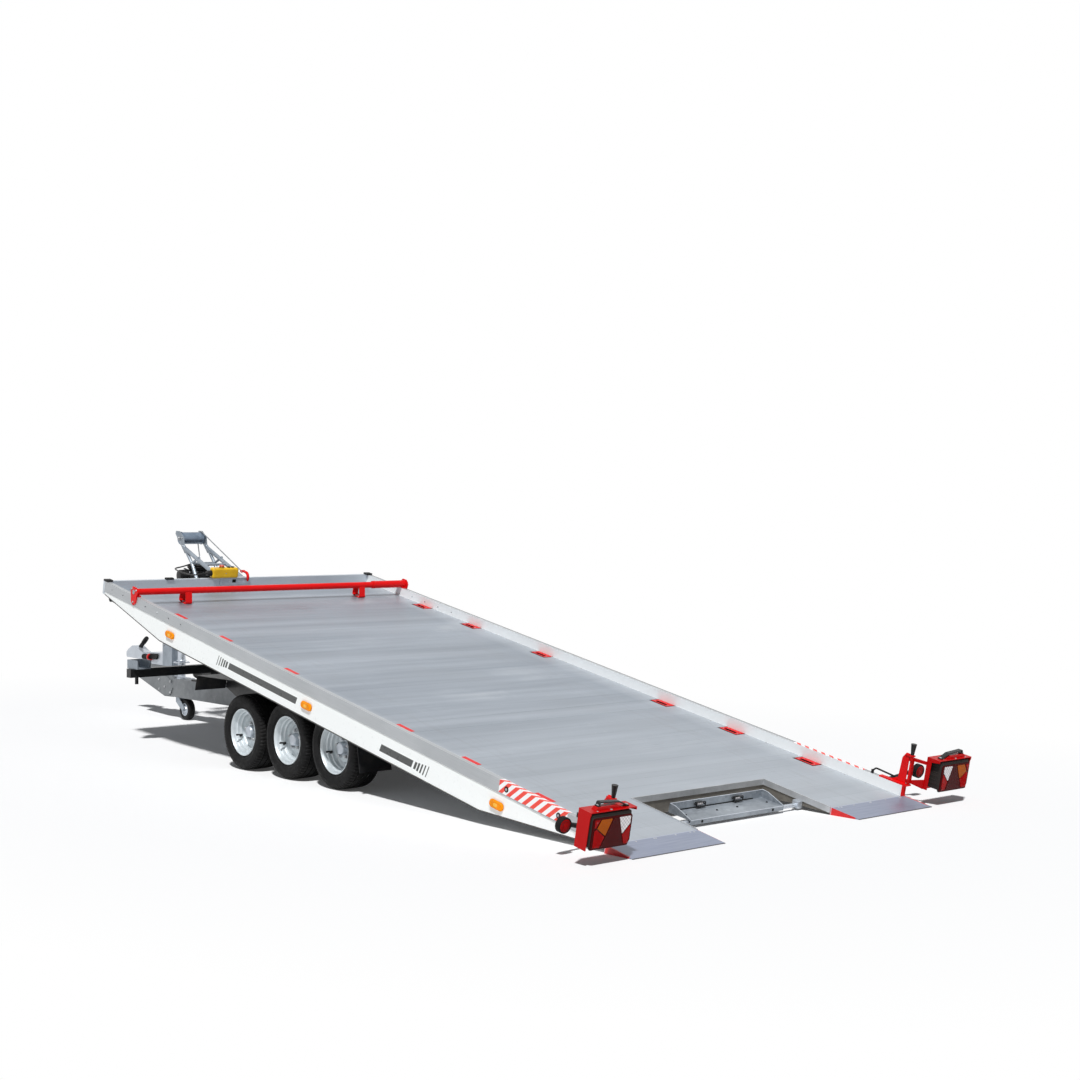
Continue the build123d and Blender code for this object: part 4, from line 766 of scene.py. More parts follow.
# ------------------------------------------------------------------ wheels
# half section from the bead to the crown: (out from the middle plane, radius) in mm
TREAD_PROFILE = (
    (70, 145.2), (79, 145.5), (83.5, 149), (84.5, 153.5), (90.5, 160), (92.5, 161.2), (95, 172),
    (96.8, 184), (97.2, 186.2), (95.8, 188.5), (97.2, 191), (96.2, 203), (93.5, 212.5), (90, 219.5),
    (86, 224.2), (79, 228.2), (67, 230.3), (59, 230.8), (58, 225), (52, 225), (51, 231), (31, 231.8),
    (23, 231.9), (22, 225.5), (15, 225.5), (14, 232), (0, 232),
)


def tyre_mesh(part, middle):
    """Car tyre with four grooves, sipes over its shoulders and raised lines on its walls."""
    pitches, steps = 64, 5
    profile = list(TREAD_PROFILE) + [(-a, r) for a, r in TREAD_PROFILE[-2::-1]]
    rings = []
    for i in range(pitches * steps):
        angle = 2 * pi * i / (pitches * steps)
        phase = i % steps
        ring = []
        for out, radius in profile:
            reach = abs(out)
            if 66 < reach < 92.5 and radius > 205:
                radius -= (4.2, 4.5, 0, 0, 0)[phase] * (1 if radius > 216 else 0.45)
            if 30 < reach < 52 and radius > 229:
                radius -= (0, 0, 0, 2.2, 0)[phase]
            lean = 0.022 * (reach / 90) ** 2
            turn = angle + (lean if out > 0 else -lean)
            place = Vector((radius * cos(turn), out, radius * sin(turn))) * MM
            ring.append(Vector(middle) + place)
        rings.append(ring)
    part.skin(rings, closed=True)


def wheel(row, x, side, name):
    """One wheel's tyre and stepped steel rim with bolts, cap and valve."""
    middle = (x, side * WHEEL_Y, TYRE_RADIUS)
    body = f"wheel_{row}_{name}"
    tyre = Part()
    tyre_mesh(tyre, middle)
    tyre.build(
        f"tyre_{row}_{name}_tread", body, "tyre_rubber", "tyre", replaces=[f"tyre_{row}_{name}"],
        angle=28,
    )
    rim = Part()
    outer = [
        (84.5, 144), (85, 142.5), (84.6, 140.5), (83, 139.2), (80, 138), (73.5, 135.2), (70, 133.5),
        (56, 132.5), (52, 130.5), (50, 126.5), (48, 124.5), (34, 123.5), (30, 121.5), (27, 116),
        (25, 114.5), (12, 113.5), (7, 110), (3, 96), (3, 90.5), (6, 86.5), (13, 82), (16, 77),
        (16.5, 42), (15, 39),
    ]
    back = [
        (7, 39), (7, 79), (-2, 90), (-6, 108), (-14, 112), (-60, 113), (-70, 130), (-83, 138),
        (-85, 141), (-84.5, 144), (-78, 144.5), (-60, 140), (-50, 119), (18, 119), (29, 125), (44, 129),
        (52, 134), (78, 144.5),
    ]
    profile = [(side * a, r) for a, r in outer + back]
    rim.turned(profile, middle, LEFT, 72, closed=True)
    rim.build(
        f"rim_{row}_{name}_steps", body, "silver_paint", "silver", replaces=[f"rim_{row}_{name}"],
        angle=32,
    )
    hub = Part()
    face = middle[1] + side * 0.0165
    way = (0, side, 0)
    cap = [(-30, 38.5), (6, 38.5), (10, 37), (26, 34.5), (31, 31), (33, 24), (33.5, 0.8)]
    hub.turned(cap, (middle[0], face, middle[2]), way, 36)
    hub.tone = 1
    for x, z in circle((middle[0], middle[2]), 0.056, 5, 0.3):
        place = (x, face, z)
        hub.turned([(0, 12.5), (3, 12.5), (6, 10.5), (6.5, 10)], place, way, 20)
        hub.turned([(6, 9.5), (17, 9.5), (19.5, 8)], place, way, 6)
    hub.build(f"hub_{row}_{name}", body, "zinc", "zinc_bright", "bolt", bevel=0.0006)
    valve = Part()
    at = Vector((middle[0] + 0.095, middle[1] + side * 0.034, middle[2] - 0.028))
    out = Vector((-0.94, 0, 0.33))
    path = [
        at - out * 0.02, at - out * 0.004, at + Vector((0, side * 0.004, 0)) + out * 0.002,
        at + Vector((0, side * 0.012, 0)) + out * 0.004, at + Vector((0, side * 0.034, 0)) + out * 0.008,
    ]
    valve.tube(path, [0.0085, 0.0075, 0.0052, 0.0046, 0.0044], 16)
    valve.turned([(0, 4.4), (1, 5.8), (11, 5.8), (12.5, 4.8), (13, 1)], path[-1], path[-1] - path[-2], 16)
    valve.build(f"valve_{row}_{name}", body, "black_rubber", "rubber")


for side, name in SIDES:
    for row, x in AXLES:
        wheel(row, x, side, name)


# ------------------------------------------------------------------ lamps at the tail
LENS = {"low": 1.14, "high": 1.375, "bottom": 0.076, "top": 0.222}


def lens_point(side, u, v):
    """A place on the lens: u from its outer to its inner edge, v from bottom to top."""
    y = LENS["high"] - u * (LENS["high"] - LENS["low"])
    return (side * y, LENS["bottom"] + v * (LENS["top"] - LENS["bottom"]))


def tail_lamp(side, name):
    """Combination lamp: rubber back with a lip, dark lens and its coloured fields."""
    body = f"lamp_holder_{name}"
    outer_cut, inner_cut = (8, 26) if side > 0 else (26, 8)
    low, high, bottom, top = (LENS[key] for key in ("low", "high", "bottom", "top"))
    outline = [
        (side * low, bottom + inner_cut / 1000), (side * (low + inner_cut / 2000), bottom),
        (side * (high - outer_cut / 2000), bottom), (side * high, bottom + outer_cut / 1000),
        (side * high, top), (side * low, top),
    ]
    soft = rounded(outline, [0.006, 0.006, 0.006, 0.006, 0.012, 0.012])
    back = Part(DECK)
    case = oblong((side * (low + high) / 2, 0.16), ((high - low) / 2 + 0.004, 0.0775), 0.012)
    back.plate(case, 0.098, 0.024, axis=0, chamfer=0.003)
    back.plate(inset(soft, -0.0035), 0.026, 0.0185, axis=0, chamfer=0.0015)
    for k in range(7):
        height = 0.092 + k * 0.021
        rib = oblong((side * (low + high) / 2, height), ((high - low) / 2 + 0.0052, 0.0028), 0.0012, 2)
        back.plate(rib, 0.094, 0.034, axis=0)
    back.build(f"tail_lamp_case_{name}", body, "black_rubber", "grey_rubber", replaces=[f"tail_lamp_{name}"])
    glass = Part(DECK)
    glass.plate(soft, 0.02, 0.0108, axis=0, chamfer=0.0024)
    fields = (
        (1, 0.0086, ((0.2, 0.95), (0.475, 0.95), (0.325, 0.42), (0.105, 0.68))),
        (2, 0.0084, ((0.655, 0.955), (0.945, 0.955), (0.945, 0.72), (0.765, 0.4))),
        (3, 0.009, ((0.095, 0.655), (0.31, 0.385), (0.205, 0.055), (0.04, 0.075), (0.04, 0.62))),
        (3, 0.009, ((0.96, 0.69), (0.775, 0.365), (0.835, 0.075), (0.9, 0.06), (0.96, 0.2))),
        (4, 0.0088, ((0.515, 0.955), (0.625, 0.955), (0.8, 0.07), (0.24, 0.06))),
        (3, 0.0094, ((0.035, 0.955), (0.165, 0.955), (0.06, 0.7), (0.035, 0.7))),
    )
    for tone, level, corners in fields:
        glass.tone = tone
        points = [lens_point(side, u, v) for u, v in corners]
        glass.plate(rounded(points, 0.003, 3), 0.0115, level, axis=0, chamfer=0.0007)
    glass.tone = 3
    for k in range(7):
        u = 0.075 + k * 0.028
        highest = 0.6 - max(0.0, (u - 0.11)) * 1.2
        glass.tube([(0.009, *lens_point(side, u, 0.11)), (0.009, *lens_point(side, u, highest))], 0.0011, 8)
    glass.tone = 5
    for u, v in ((0.085, 0.875), (0.93, 0.1)):
        y, w = lens_point(side, u, v)
        glass.turned([(0, 5.2), (1.8, 5.2), (2.6, 4)], (0.0112, y, w), BACK, 18)
    finishes = ("reflector", "amber_field", "clear_lens", "red_lens", "reflector", "dark_screw")
    glass.build(f"tail_lamp_lens_{name}", body, "lamp_lens", *finishes)
    trim = Part(DECK)
    trim.rivet((0.03, side * 1.262, 0.25), UP, 7)
    trim.rivet((0.03, side * 1.345, 0.25), UP, 5)
    for y in (1.15, 1.25, 1.35):
        trim.bolt((0.102, side * y, 0.215), AHEAD, 6)
    trim.rivet((0.05, side * 1.154, 0.2565), UP, 8)
    trim.rivet((0.05, side * 1.33, 0.2725), UP, 8)
    trim.build(f"lamp_bolts_{name}", body, "zinc", "bolt", bevel=0.0004)


def round_lamp(part, side):
    """Round rubber lamp with a red lens facing back, on its rubber arm."""
    middle = (0.304, side * 1.302, 0.094)
    part.tone = 0
    profile = [(0, 30), (3, 36.5)] + ribs(3, 5, 9, [(0, 38.8), (5.5, 38.8), (6, 36.2), (8.5, 36.2)])
    profile += [(32.5, 38.5), (34.5, 37), (34.5, 31.5), (30, 31)]
    part.turned(profile, middle, BACK, 48)
    part.tone = 2
    face = [(29, 31.2), (32.5, 31.2), (35, 28.5), (36.6, 20), (37.2, 8), (37.3, 1)]
    part.turned(face, middle, BACK, 40)
    part.tone = 0
    for radius in (25.5, 17.5, 9.5):
        ring = [(34, radius), (37.2, radius - 0.6), (37.2, radius - 1.8), (34, radius - 2.4)]
        part.turned(ring, middle, BACK, 36, closed=True)
    arm = [
        (0.331, side * 1.108, 0.046), (0.33, side * 1.128, 0.05), (0.322, side * 1.175, 0.062),
        (0.312, side * 1.235, 0.078), (0.303, side * 1.276, 0.088), (0.3, side * 1.288, 0.091),
    ]
    part.tube(arm, [0.0165, 0.015, 0.0128, 0.0112, 0.0125, 0.014], 20)
    part.plate(oblong((0.33, 0.05), (0.0145, 0.0165), 0.006), side * 1.1005, side * 1.11, chamfer=0.002)


lamps = Part(DECK)
for side, name in SIDES:
    tail_lamp(side, name)
    round_lamp(lamps, side)
    for s in MARKER_PLACES:
        pill = oblong((s, MARKER_W), (0.053, 0.0215), 0.0205, 7)
        lamps.tone = 0
        lamps.plate(inset(pill, 0.0012), side * 1.0962, side * 1.099, chamfer=0.0008)
        lamps.tone = 1
        lamps.plate(pill, side * 1.0985, side * 1.1105, chamfer=0.0048)
        lamps.tone = 3
        lamps.plate(
            oblong((s, MARKER_W), (0.016, 0.0095), 0.008, 5), side * 1.1085, side * 1.1107,
            chamfer=0.0006,
        )
finishes = ("rubber", "amber", "round_lens", "amber_core")
lamps.build("side_and_round_lamps", "platform", "amber_lens", *finishes, replaces=["marker_lamps"])


# ------------------------------------------------------------------ deck, rails and ramps
marks = Part(DECK)
for s in SLOT_PLACES:
    for side, _ in SIDES:
        inner = 0.918 if side > 0 else 0.999
        reach = (1.0675 - inner) / 2
        outer = rectangle((s, side * (inner + reach)), (0.07, reach))
        middle = side * SLOT_Y
        hole = rectangle((s, middle), (0.046, 0.0128))
        rings = []
        for outline, level in (
            (outer, 0.0001), (inset(outer, 0.0004), 0.0014), (hole, 0.0014), (hole, 0.0001),
        ):
            rings.append([(a, b, level) for a, b in outline])
        marks.tone = 0
        marks.skin(rings, closed=True)
        marks.tone = 1
        for end in (-0.058, 0.058):
            marks.rivet((s + end, middle, 0.0012), UP, 4.2)
marks.build("slot_marks", "platform", "red_paint", "red", "bolt")

joints = Part(DECK)
for side, _ in SIDES:
    for k in range(34):
        s = 0.29 + k * 0.151
        joints.rivet((s, side * 1.059, 0.0), UP, 5.2)
    for s in (4.962, 4.636):
        joints.bolt((s, side * BEAM_FACE, 0.025), (0, side, 0), 5.5)
    for y in (0.16, 0.42, 0.68, 0.94):
        joints.bolt((5.4252, side * y + 0.05 * side, 0.015), AHEAD, 6.5)
    for y in (0.56, 0.8, 1.04):
        joints.rivet((0.188, side * y, 0.0), UP, 4.8)
joints.build("deck_rivets", "platform", "rail_aluminium", "trim")

eyes = Part(DECK)
for side, _ in SIDES:
    for s in (0.545, 0.945):
        eyes.tone = 0
        ring = [(0, 8.5), (0, 15), (1.6, 15), (2.4, 13.8), (2.4, 8.5)]
        eyes.turned(ring, (s, side * 1.1, 0.026), (0, side, 0), 32, closed=True)
        eyes.tone = 1
        eyes.bolt((s, side * BEAM_FACE, 0.026), (0, side, 0), 6.2, washer=False)
eyes.build("tape_bolts", "platform", "zinc", "rubber", "bolt")

# dark strips along the side beams' lower edges: painted shade at the edge, as a thin dark sheet
edges = Part(DECK)
for side, _ in SIDES:
    bottom = [(5.3965, -0.0335), (4.574, -0.1512), (1.142, -0.1512), (0.423, -0.0492), (0.207, -0.0165)]
    upper = [(5.3965, -0.0275), (4.575, -0.145), (1.1428, -0.145), (0.4245, -0.043), (0.207, -0.012)]
    rings = []
    for (s, w), (s2, w2) in zip(bottom, upper):
        rings.append([
            (s, side * 1.0955, w), (s, side * 1.0972, w), (s2, side * 1.0972, w2),
            (s2, side * 1.0955, w2),
        ])
    edges.skin(rings)
edges.build("beam_edge_shade_strips", "platform", "black_paint", "lower_edge_shade", angle=50)

tips = Part(DECK)
for side, _ in SIDES:
    inner = side * 0.4965
    for y, way in ((side * 1.0992, side), (inner, -side)):
        edge = rectangle((0.12, -0.005), (0.08, -0.0025))
        tips.tone = 0
        tips.plate(edge, y - way * 0.0002, y + way * 0.0007)
    tips.tone = 1
    for y in (0.535, 0.66, 0.79, 0.92, 1.05):
        tips.rivet((0.186, side * y, 0.0), UP, 5)
tips.build("ramp_edge_marks", "platform", "red_paint", "red", "trim")


# ------------------------------------------------------------------ number plate carrier
guards = Part(DECK)
for y in (-0.14, 0.14):
    loop = [(0.529, a, b) for a, b in oblong((y, PLATE_LAMP_W), (0.031, 0.0125), 0.006)]
    guards.tone = 0
    guards.tube(loop, 0.0034, 10, closed=True)
    for end in (y - 0.0305, y + 0.0305):
        guards.tube([(0.5505, end, PLATE_LAMP_W), (0.529, end, PLATE_LAMP_W)], 0.0032, 10)
    guards.plate(oblong((y, PLATE_LAMP_W), (0.024, 0.0085), 0.004), 0.5505, 0.539, axis=0, chamfer=0.002)
    guards.tone = 1
    guards.plate(oblong((y, PLATE_LAMP_W), (0.019, 0.006), 0.003), 0.5395, 0.5362, axis=0, chamfer=0.001)
guards.build(
    "plate_lamp_guards", "plate_carrier", "black_plastic", "plastic", "clear_lens",
    replaces=["plate_lamps"],
)

tray = Part(DECK)
tray.plate(oblong((0.0, -0.0405), (0.275, 0.003), 0.002, 2), 0.5508, 0.5488, axis=0)
tray.tone = 1
for y in (-0.262, 0.262):
    tray.turned([(0, 7.2), (1.2, 7.2), (1.5, 6)], (0.3929, y, -0.05), BACK, 20)
for y in (-0.3, -0.075, 0.075, 0.3):
    tray.bolt((0.474, y, -0.0405), UP, 5.2)
tray.tone = 2
for y in (-TRAY_HALF, TRAY_HALF):
    tray.tube([(0.551, y, 0.0012), (0.512, y, -0.001), (0.398, y, -0.0345)], 0.0022, 10)
tray.tube([(0.552, -TRAY_HALF, 0.0006), (0.552, TRAY_HALF, 0.0006)], 0.0022, 10)
tray.tube([(0.3952, -TRAY_HALF, -0.0385), (0.3952, TRAY_HALF, -0.0385)], 0.0024, 10)
tray.build("tray_fittings", "plate_carrier", "zinc", "rubber", "dark", "zinc_bright")


# ------------------------------------------------------------------ wheel stop bar, bulkhead and winch
stop = Part(DECK)
for side, _ in SIDES:
    for s, w in ((4.93, 0.105), (4.99, 0.105), (4.96, 0.02)):
        stop.bolt((s, side * STOP_FACE, w), (0, side, 0), 6)
    stop.turned([(0, 15.5), (3.5, 15.5), (4.5, 14)], (4.96, side * STOP_FACE, 0.088), (0, side, 0), 28)
    stop.bolt((4.985, side * STOP_FOOT_Y + 0.012, 0.0058), UP, 7)
    stop.bolt((4.935, side * STOP_FOOT_Y - 0.012, 0.0058), UP, 7)
stop.build("stop_bar_bolts", "platform", "zinc", "bolt", bevel=0.0004)

latch = Part(DECK)
latch.turned([(0, 28.5), (10, 28.5), (12, 27.5)], (4.96, -0.822, 0.088), (0, -1, 0), 40)
latch.build("stop_bar_latch", "platform", "red_paint", "red")

front = Part(DECK)
front.plate(oblong((0.61, 0.0665), (0.03, 0.0062), 0.003, 3), 5.3905, 5.42, axis=0, chamfer=0.002)
front.build("bulkhead_stop", "platform", "black_rubber", "rubber")

channel = Part(DECK)
back = oblong((0.1, 0.03525), (0.108, 0.02225), 0.003, 3)
channel.plate(back, 5.4, 5.3915, axis=0, chamfer=0.0012)
shelf = oblong((0.101, 0.06225), (0.111, 0.00325), 0.0015, 2)
channel.plate(shelf, 5.434, 5.386, axis=0, chamfer=0.001)
for y in (0.012, 0.06, 0.132, 0.188):
    channel.bolt((5.3915, y, 0.034), BACK, 5)
channel.tone = 1
channel.plate(oblong((0.096, 0.04), (0.015, 0.012), 0.002, 3), 5.3925, 5.3908, axis=0)
channel.build("pendant_shelf", "platform", "zinc", "zinc_bright", "dark", bevel=0.0006)

control = Part(DECK)
boot = ribs(5, 2, 7.2, [(0, 21.4), (4.4, 21.4), (5, 19.2), (6.6, 19.2)], 0.6)
boot = [(0, 19.5)] + boot + [(37.2, 8.5), (38.8, 6.4)]
control.turned(boot, (CONTROL_S, 0.2785, GLAND_W), LEFT, 32)
for y in (0.112, 0.142):
    control.turned(
        [(-6, 12.8), (1, 12.8), (1.6, 11.2), (6.2, 10.6), (7.2, 8.5), (7.4, 1)], (CONTROL_S, y, 0.1385),
        UP, 28,
    )
control.turned([(-2, 20), (3, 20), (3.6, 18.8)], (CONTROL_S, 0.2, CONTROL_TOP), UP, 32)
control.tone = 1
control.turned(
    [(2, 15), (7, 15), (8.5, 18.6), (15, 19), (18.5, 16.5), (19.5, 10), (19.8, 1)],
    (CONTROL_S, 0.2, CONTROL_TOP), UP, 36,
)
control.tone = 2
for s in (5.381, 5.431):
    for y in (0.083, 0.269):
        control.rivet((s, y, CONTROL_TOP), UP, 3.6)
control.rivet((5.3768, 0.176, 0.1), BACK, 4)
control.build("pendant_controls", "platform", "black_plastic", "plastic", "button", "bolt")

hook = Part(DECK)
shank = [
    (5.458, 0.0945), (5.438, 0.096), (5.418, 0.0965), (5.401, 0.094), (5.388, 0.084), (5.3805, 0.068),
    (5.3795, 0.052), (5.3825, 0.039),
]
hook.tube(
    [(s, HOOK_Y, w) for s, w in shank], [0.0062, 0.008, 0.0095, 0.0105, 0.0105, 0.0098, 0.0085, 0.0055],
    18,
)
for way in (-1, 1):
    strap = rounded([(5.446, 0.0835), (5.479, 0.0845), (5.479, 0.1005), (5.446, 0.1055)], 0.006, 4)
    hook.plate(strap, HOOK_Y + way * 0.0088, HOOK_Y + way * 0.0122, chamfer=0.0008)
bridge = oblong((5.476, 0.0925), (0.004, 0.0075), 0.002, 2)
hook.plate(bridge, HOOK_Y - 0.0115, HOOK_Y + 0.0115)
hook.tube([(5.39, HOOK_Y, 0.056), (5.397, HOOK_Y, 0.064), (5.4, HOOK_Y, 0.08)], 0.0028, 10)
hook.tone = 1
hook.turned([(-14.5, 4.5), (14.5, 4.5)], (5.456, HOOK_Y, 0.0945), LEFT, 20)
hook.build("rope_hook_forging", "platform", "red_paint", "red", "bolt", replaces=["rope_hook"])

winch = Part(DECK)
for start, end in ((0.136, 0.196), (-0.0595, -0.032)):
    for k in range(int((end - start) / 0.0075)):
        place = start + 0.002 + k * 0.0075
        winch.turned([(0, 44), (3.2, 44), (3.6, 43)], (WINCH_S, place, WINCH_W), LEFT, 40)
winch.turned([(0, 34), (4, 34), (5.5, 31), (6, 10), (6.2, 1)], (WINCH_S, 0.1995, WINCH_W), LEFT, 32)
winch.tone = 1
for s, w in circle((WINCH_S, WINCH_W), 0.027, 6):
    winch.bolt((s, 0.2, w), LEFT, 4.2, washer=False)
for y, way in ((-0.0302, -1), (0.1372, 1)):
    for w in (-0.092, -0.024):
        for s in (5.966, 6.054):
            winch.bolt((s, y, w), (0, way, 0), 5.5)
for s in (5.945, 6.062):
    for y in (-0.045, 0.182):
        winch.bolt((s, y, -0.102), UP, 6.2)
winch.tone = 2
turns = enumerate(circle((WINCH_S, WINCH_W), 0.0318, 26) * 12)  # the rope's twelve turns on the drum
winch.tube([(s, 0.006 + 0.0086 * k / 26, w) for k, (s, w) in turns], 0.004, 10)
winch.tone = 0
winch.plate(oblong((5.952, -0.055), (0.021, 0.03), 0.008), 0.016, 0.092, chamfer=0.004)
winch.tone = 1
for y in (0.034, 0.074):
    winch.turned([(0, 6), (10, 6), (12, 4.5)], (5.952, y, -0.0245), UP, 16)
winch.build("winch_details", "platform", "black_plastic", "cast_black", "bolt", "rope")

stand = Part(DECK)
for y in (-0.025, 0.165):
    way = -1 if y < 0 else 1
    stand.turned([(0, 16.5), (4, 16.5), (4.8, 15)], (ROLLER_S, y + way * 0.003, ROLLER_W), (0, way, 0), 28)
    stand.bolt((ROLLER_S, y + way * 0.0072, ROLLER_W), (0, way, 0), 8.5)
    stand.bolt((6.055, y + way * 0.003, 0.16), (0, way, 0), 5.8)
    stand.bolt((6.075, y + way * 0.003, 0.215), (0, way, 0), 5.8)
    for w in (0.038, -0.05, -0.12):
        stand.bolt((5.4332, y + way * 0.036, w), AHEAD, 7.5)
stand.build("stand_bolts", "platform", "zinc", "bolt", bevel=0.0005)

drum = Part(DECK)
for y in (-0.016, 0.156):
    way = 1 if y < 0 else -1
    drum.turned([(0, 48.5), (3.5, 48.5), (4.5, 46.2), (4.6, 45.2)], (ROLLER_S, y, ROLLER_W), (0, way, 0), 64)
drum.build("roller_flanges", "roller", "zinc", "roller_zinc")


# ------------------------------------------------------------------ drawbar
bar = Part()
for side, _ in SIDES:
    for x, z in ((3.235, 0.2), (3.235, 0.285), (3.325, 0.24), (3.415, 0.215), (3.415, 0.29)):
        bar.bolt((x, side * 0.0562, z), (0, side, 0), 8.8)
    for x in (3.25, 3.345):
        bar.bolt((x, side * 0.0502, 0.56), (0, side, 0), 7.5)
bar.build("drawbar_bolts", "chassis", "zinc", "bolt", bevel=0.0005)

rods = Part()
for y, z in ((0.03, 0.3235), (0.004, 0.318)):
    rods.tube([(3.21, y, z + 0.006), (2.95, y, z + 0.004), (2.925, y + 0.012, z - 0.002)], 0.0045, 12)
for side, _ in SIDES:
    rods.tube([(2.6, side * 0.0425, 0.315), (1.18, side * 0.0425, 0.315)], 0.0048, 12)
    for x in (1.35, 1.85, 2.35, 2.58):
        rods.plate(oblong((x, 0.3155), (0.01, 0.0062), 0.002, 2), side * 0.035, side * 0.0495)
rods.build("brake_rods", "chassis", "zinc", "zinc_bright")

grip = Part()
sleeve = ribs(8, 10, 9.5, [(0, 22.2), (6, 22.2), (6.6, 20.6), (9, 20.6)])
sleeve = [(0, 18.5), (4, 21.5)] + sleeve + [(92, 22.2), (96, 20.5), (97, 1)]
grip.turned(sleeve, (3.668, 0.057, 0.452), BACK, 32)
grip.tone = 1
grip.turned(
    [(0, 19), (0, 26.2), (4, 27.5), (13, 27.5), (16, 26.2), (16, 19)], (3.574, 0.057, 0.4535), BACK, 40,
    closed=True,
)
grip.tone = 0
grip.turned([(12, 16.5), (16.5, 16.5), (17, 12), (17.1, 1)], (3.574, 0.057, 0.4535), BACK, 32)
handle = (Vector((3.724, 0, 0.592)) - Vector((3.832, 0, 0.516))).normalized()
for k in range(7):
    start = Vector((3.78, 0, 0.5526)) + handle * (k * 0.0085)
    grip.turned([(0, 17), (1.4, 18.6), (5, 18.6), (6.4, 17)], start, handle, 24)
grip.build("drawbar_grips", "chassis", "black_rubber", "rubber", "button")

nose = Part()
nose.turned([(0, 33), (4, 33), (10, 32.2), (14, 31)], (3.56, 0, 0.446), AHEAD, 36)
collar = ribs(6, 0, 11.5, [(0, 30.5), (5, 35), (6, 35), (11, 30.5)])
nose.tone = 1
nose.turned(collar, (3.562, 0, 0.446), AHEAD, 36)
nose.build("overrun_bellows", "chassis", "black_rubber", "zinc_bright", "rubber")

jack = Part()
for z in (0.432, 0.188):
    ring = [(x, y, z + 0.018) for x, y in circle((3.16, 0), 0.0345, 36)]
    jack.tube(ring, 0.0042, 10, closed=True)
for y in (-0.036, 0.036):
    for x in (3.124, 3.196):
        jack.bolt((x, y, 0.438), UP, 6)
jack.turned([(0, 12.5), (4, 14), (30, 13), (36, 11.8), (40, 8), (41, 1)], (3.16, -0.1, 0.6235), UP, 24)
jack.build("jockey_fittings", "chassis", "zinc", "zinc_bright", bevel=0.0003)

tread = [
    (0, 80), (3.5, 80), (3.6, 77), (6, 77), (6.1, 80), (12.5, 79.8), (12.6, 77), (15, 77), (15.1, 79.6),
    (20.5, 78.6), (24.5, 76), (26.8, 72), (27.5, 66), (26.8, 58), (25.5, 53), (24.5, 49), (24, 47),
]
jockey = Part()
profile = tread + [(-a, r) for a, r in tread[:0:-1]]
jockey.turned(profile[::-1], JOCKEY_AXLE, LEFT, 72, closed=True)
jockey.tone = 1
for way in (1, -1):
    dish = [
        (22, 47.5), (24.5, 48), (25, 46.2), (21.5, 44), (17, 40), (16.5, 30), (20, 26.2), (27, 24.5),
        (28.8, 22.5), (28.8, 9.2), (12, 9.2), (12, 47.5),
    ]
    jockey.turned([(way * a, r) for a, r in dish], JOCKEY_AXLE, LEFT, 48, closed=True)
    for x, z in circle(JOCKEY_AXLE[::2], 0.0345, 5, 0.4):
        jockey.bolt((x, way * 0.0164, z), (0, way, 0), 4.2)
jockey.build(
    "jockey_tyre_and_rim", "jockey_wheel", "black_rubber", "rubber", "zinc_bright",
    replaces=["jockey_wheel"],
)

pump = Part()
for k in range(9):
    start = 2.785 + k * 0.0135
    pump.turned([(0, 44), (5.5, 44)], (start, 0, 0.372), AHEAD, 36)
for y in (-0.03, 0.03):
    pump.turned([(0, 10), (10, 10), (13, 8)], (2.655, y, 0.4215), UP, 20)
for x in (2.64, 2.76):
    for y in (-0.036, 0.036):
        pump.bolt((x, y, PUMP_TOP), UP, 4.5)
pump.tone = 1
pump.turned([(0, 13), (16, 13), (20, 10), (21, 1)], (2.705, 0, PUMP_TOP), UP, 24)
pump.build("pump_details", "chassis", "black_plastic", "cast_black", "button")


# ------------------------------------------------------------------ chassis
under = Part()
for side, _ in SIDES:
    for _, x in AXLES[::-1]:
        for dx in (-0.07, 0.07):
            for z in (0.362, 0.398):
                under.bolt((x + dx, side * 0.4802, z), (0, side, 0), 8.5)
        under.turned([(0, 34), (6, 34), (8, 31)], (x, side * 0.825, TYRE_RADIUS), (0, side, 0), 32)
under.build("chassis_bolts", "chassis", "zinc", "bolt", bevel=0.0005)


# ------------------------------------------------------------------ hand control cord
def deck_place(s, y, w):
    """A place on the tilted deck, in the row frame."""
    return tuple(DECK @ Vector((s, y, w)))


COIL_MIDDLE = (5.985, 0.062)
COLUMNS = (0.0466, 0.057, 0.0674, 0.0778)  # radii of the coil's turns
LAYERS = (0.0305, 0.0182, 0.0059, -0.0064)  # heights of its layers, from the top


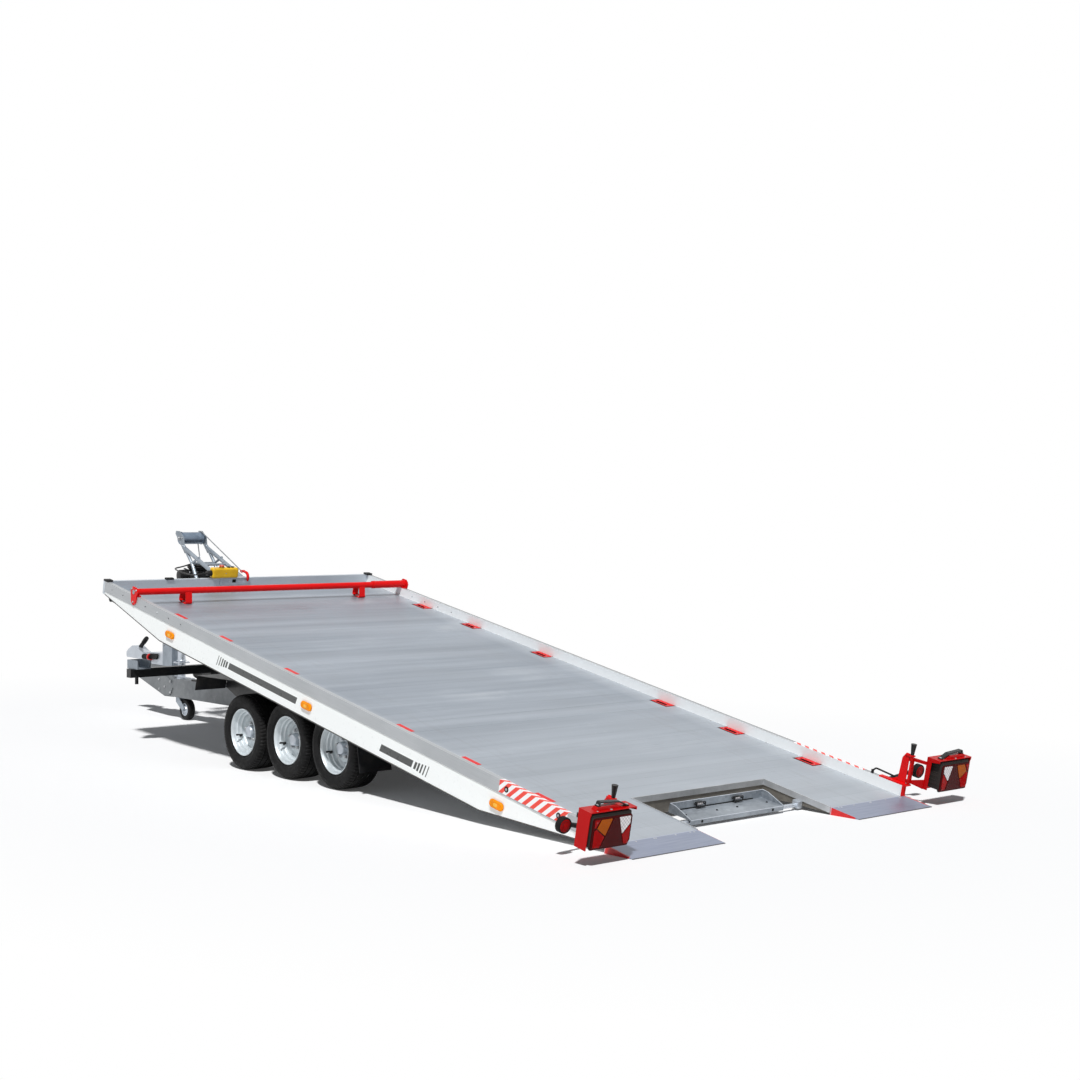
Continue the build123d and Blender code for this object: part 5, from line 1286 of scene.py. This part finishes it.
def coil_turns():
    """Turns of the coil, wound clockwise from the top layer down; each steps over early and drops late."""
    stations = [(COLUMNS[1], LAYERS[0]), (COLUMNS[0], LAYERS[0])]
    for k, height in enumerate(LAYERS[1:]):
        stations += [(radius, height) for radius in (COLUMNS if k % 2 == 0 else COLUMNS[::-1])]
    points = []
    before = stations[0][0]
    for k, (radius, height) in enumerate(stations):
        last = k == len(stations) - 1
        below = height if last else stations[k + 1][1]
        for i in range(12 if last else 18):
            share = i / 18
            over = min(1.0, share / 0.3)
            drop = max(0.0, (share - 0.7) / 0.3)
            angle = radians(60) - 2 * pi * share
            wide = (before + (radius - before) * over) * (1 + 0.012 * cos(2 * angle + 0.6))
            level = height + (below - height) * drop + 0.0004 * sin(3 * angle)
            points.append((COIL_MIDDLE[0] + wide * cos(angle), COIL_MIDDLE[1] + wide * sin(angle), level))
        before = radius
    return points


cord_points = [
    (CONTROL_S, 0.3173, GLAND_W), (CONTROL_S, 0.352, GLAND_W), (5.556, 0.349, 0.047),
    (COIL_MIDDLE[0], 0.278, 0.001), (COIL_MIDDLE[0], 0.2, 0.014), (COIL_MIDDLE[0], 0.15, 0.028),
    (5.9874, 0.1363, 0.0305), (5.9944, 0.1243, 0.0305), (6.005, 0.1154, 0.0305),
]
cord_points += coil_turns()
cord_points += [
    (5.9072, 0.062, -0.0064), (5.9072, 0.088, -0.009), (5.9074, 0.11, -0.02), (5.9075, 0.112, -0.045),
]
cord_curve = bpy.data.curves.new("pendant_lead", "CURVE")
cord_curve.dimensions = "3D"
cord_curve.bevel_depth = 0.005
cord_curve.bevel_resolution = 3
cord_curve.resolution_u = 4
cord_curve.use_fill_caps = True
line = cord_curve.splines.new("NURBS")
line.points.add(len(cord_points) - 1)
for point, place in zip(line.points, cord_points):
    point.co = (*deck_place(*place), 1.0)
line.order_u = 3
line.use_endpoint_u = True
cord_curve.materials.append(MATERIALS["cable"])
lead = added("pendant_lead", cord_curve)
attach(lead, "platform")
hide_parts("pendant_cable", "pendant_coil")

control_box = Part(DECK)
control_box.plate(oblong((5.919, 0.1125), (0.029, 0.036), 0.007), -0.1, -0.05, axis=2, chamfer=0.003)
control_box.plate(oblong((5.919, 0.1125), (0.0275, 0.0345), 0.006), -0.0505, -0.0465, axis=2, chamfer=0.001)
control_box.turned([(0, 13), (6, 13), (6.5, 10.5), (12, 10), (14, 7)], (5.9075, 0.112, -0.0468), UP, 24)
control_box.tone = 1
for s in (5.897, 5.941):
    for y in (0.086, 0.139):
        control_box.turned([(0, 3), (1.2, 3), (1.6, 2.2)], (s, y, -0.0466), UP, 14)
control_box.plate(oblong((5.925, 0.1125), (0.036, 0.03), 0.003), -0.1022, -0.0995, axis=2)
control_box.build("winch_control_box", "platform", "black_plastic", "plastic", "bolt")
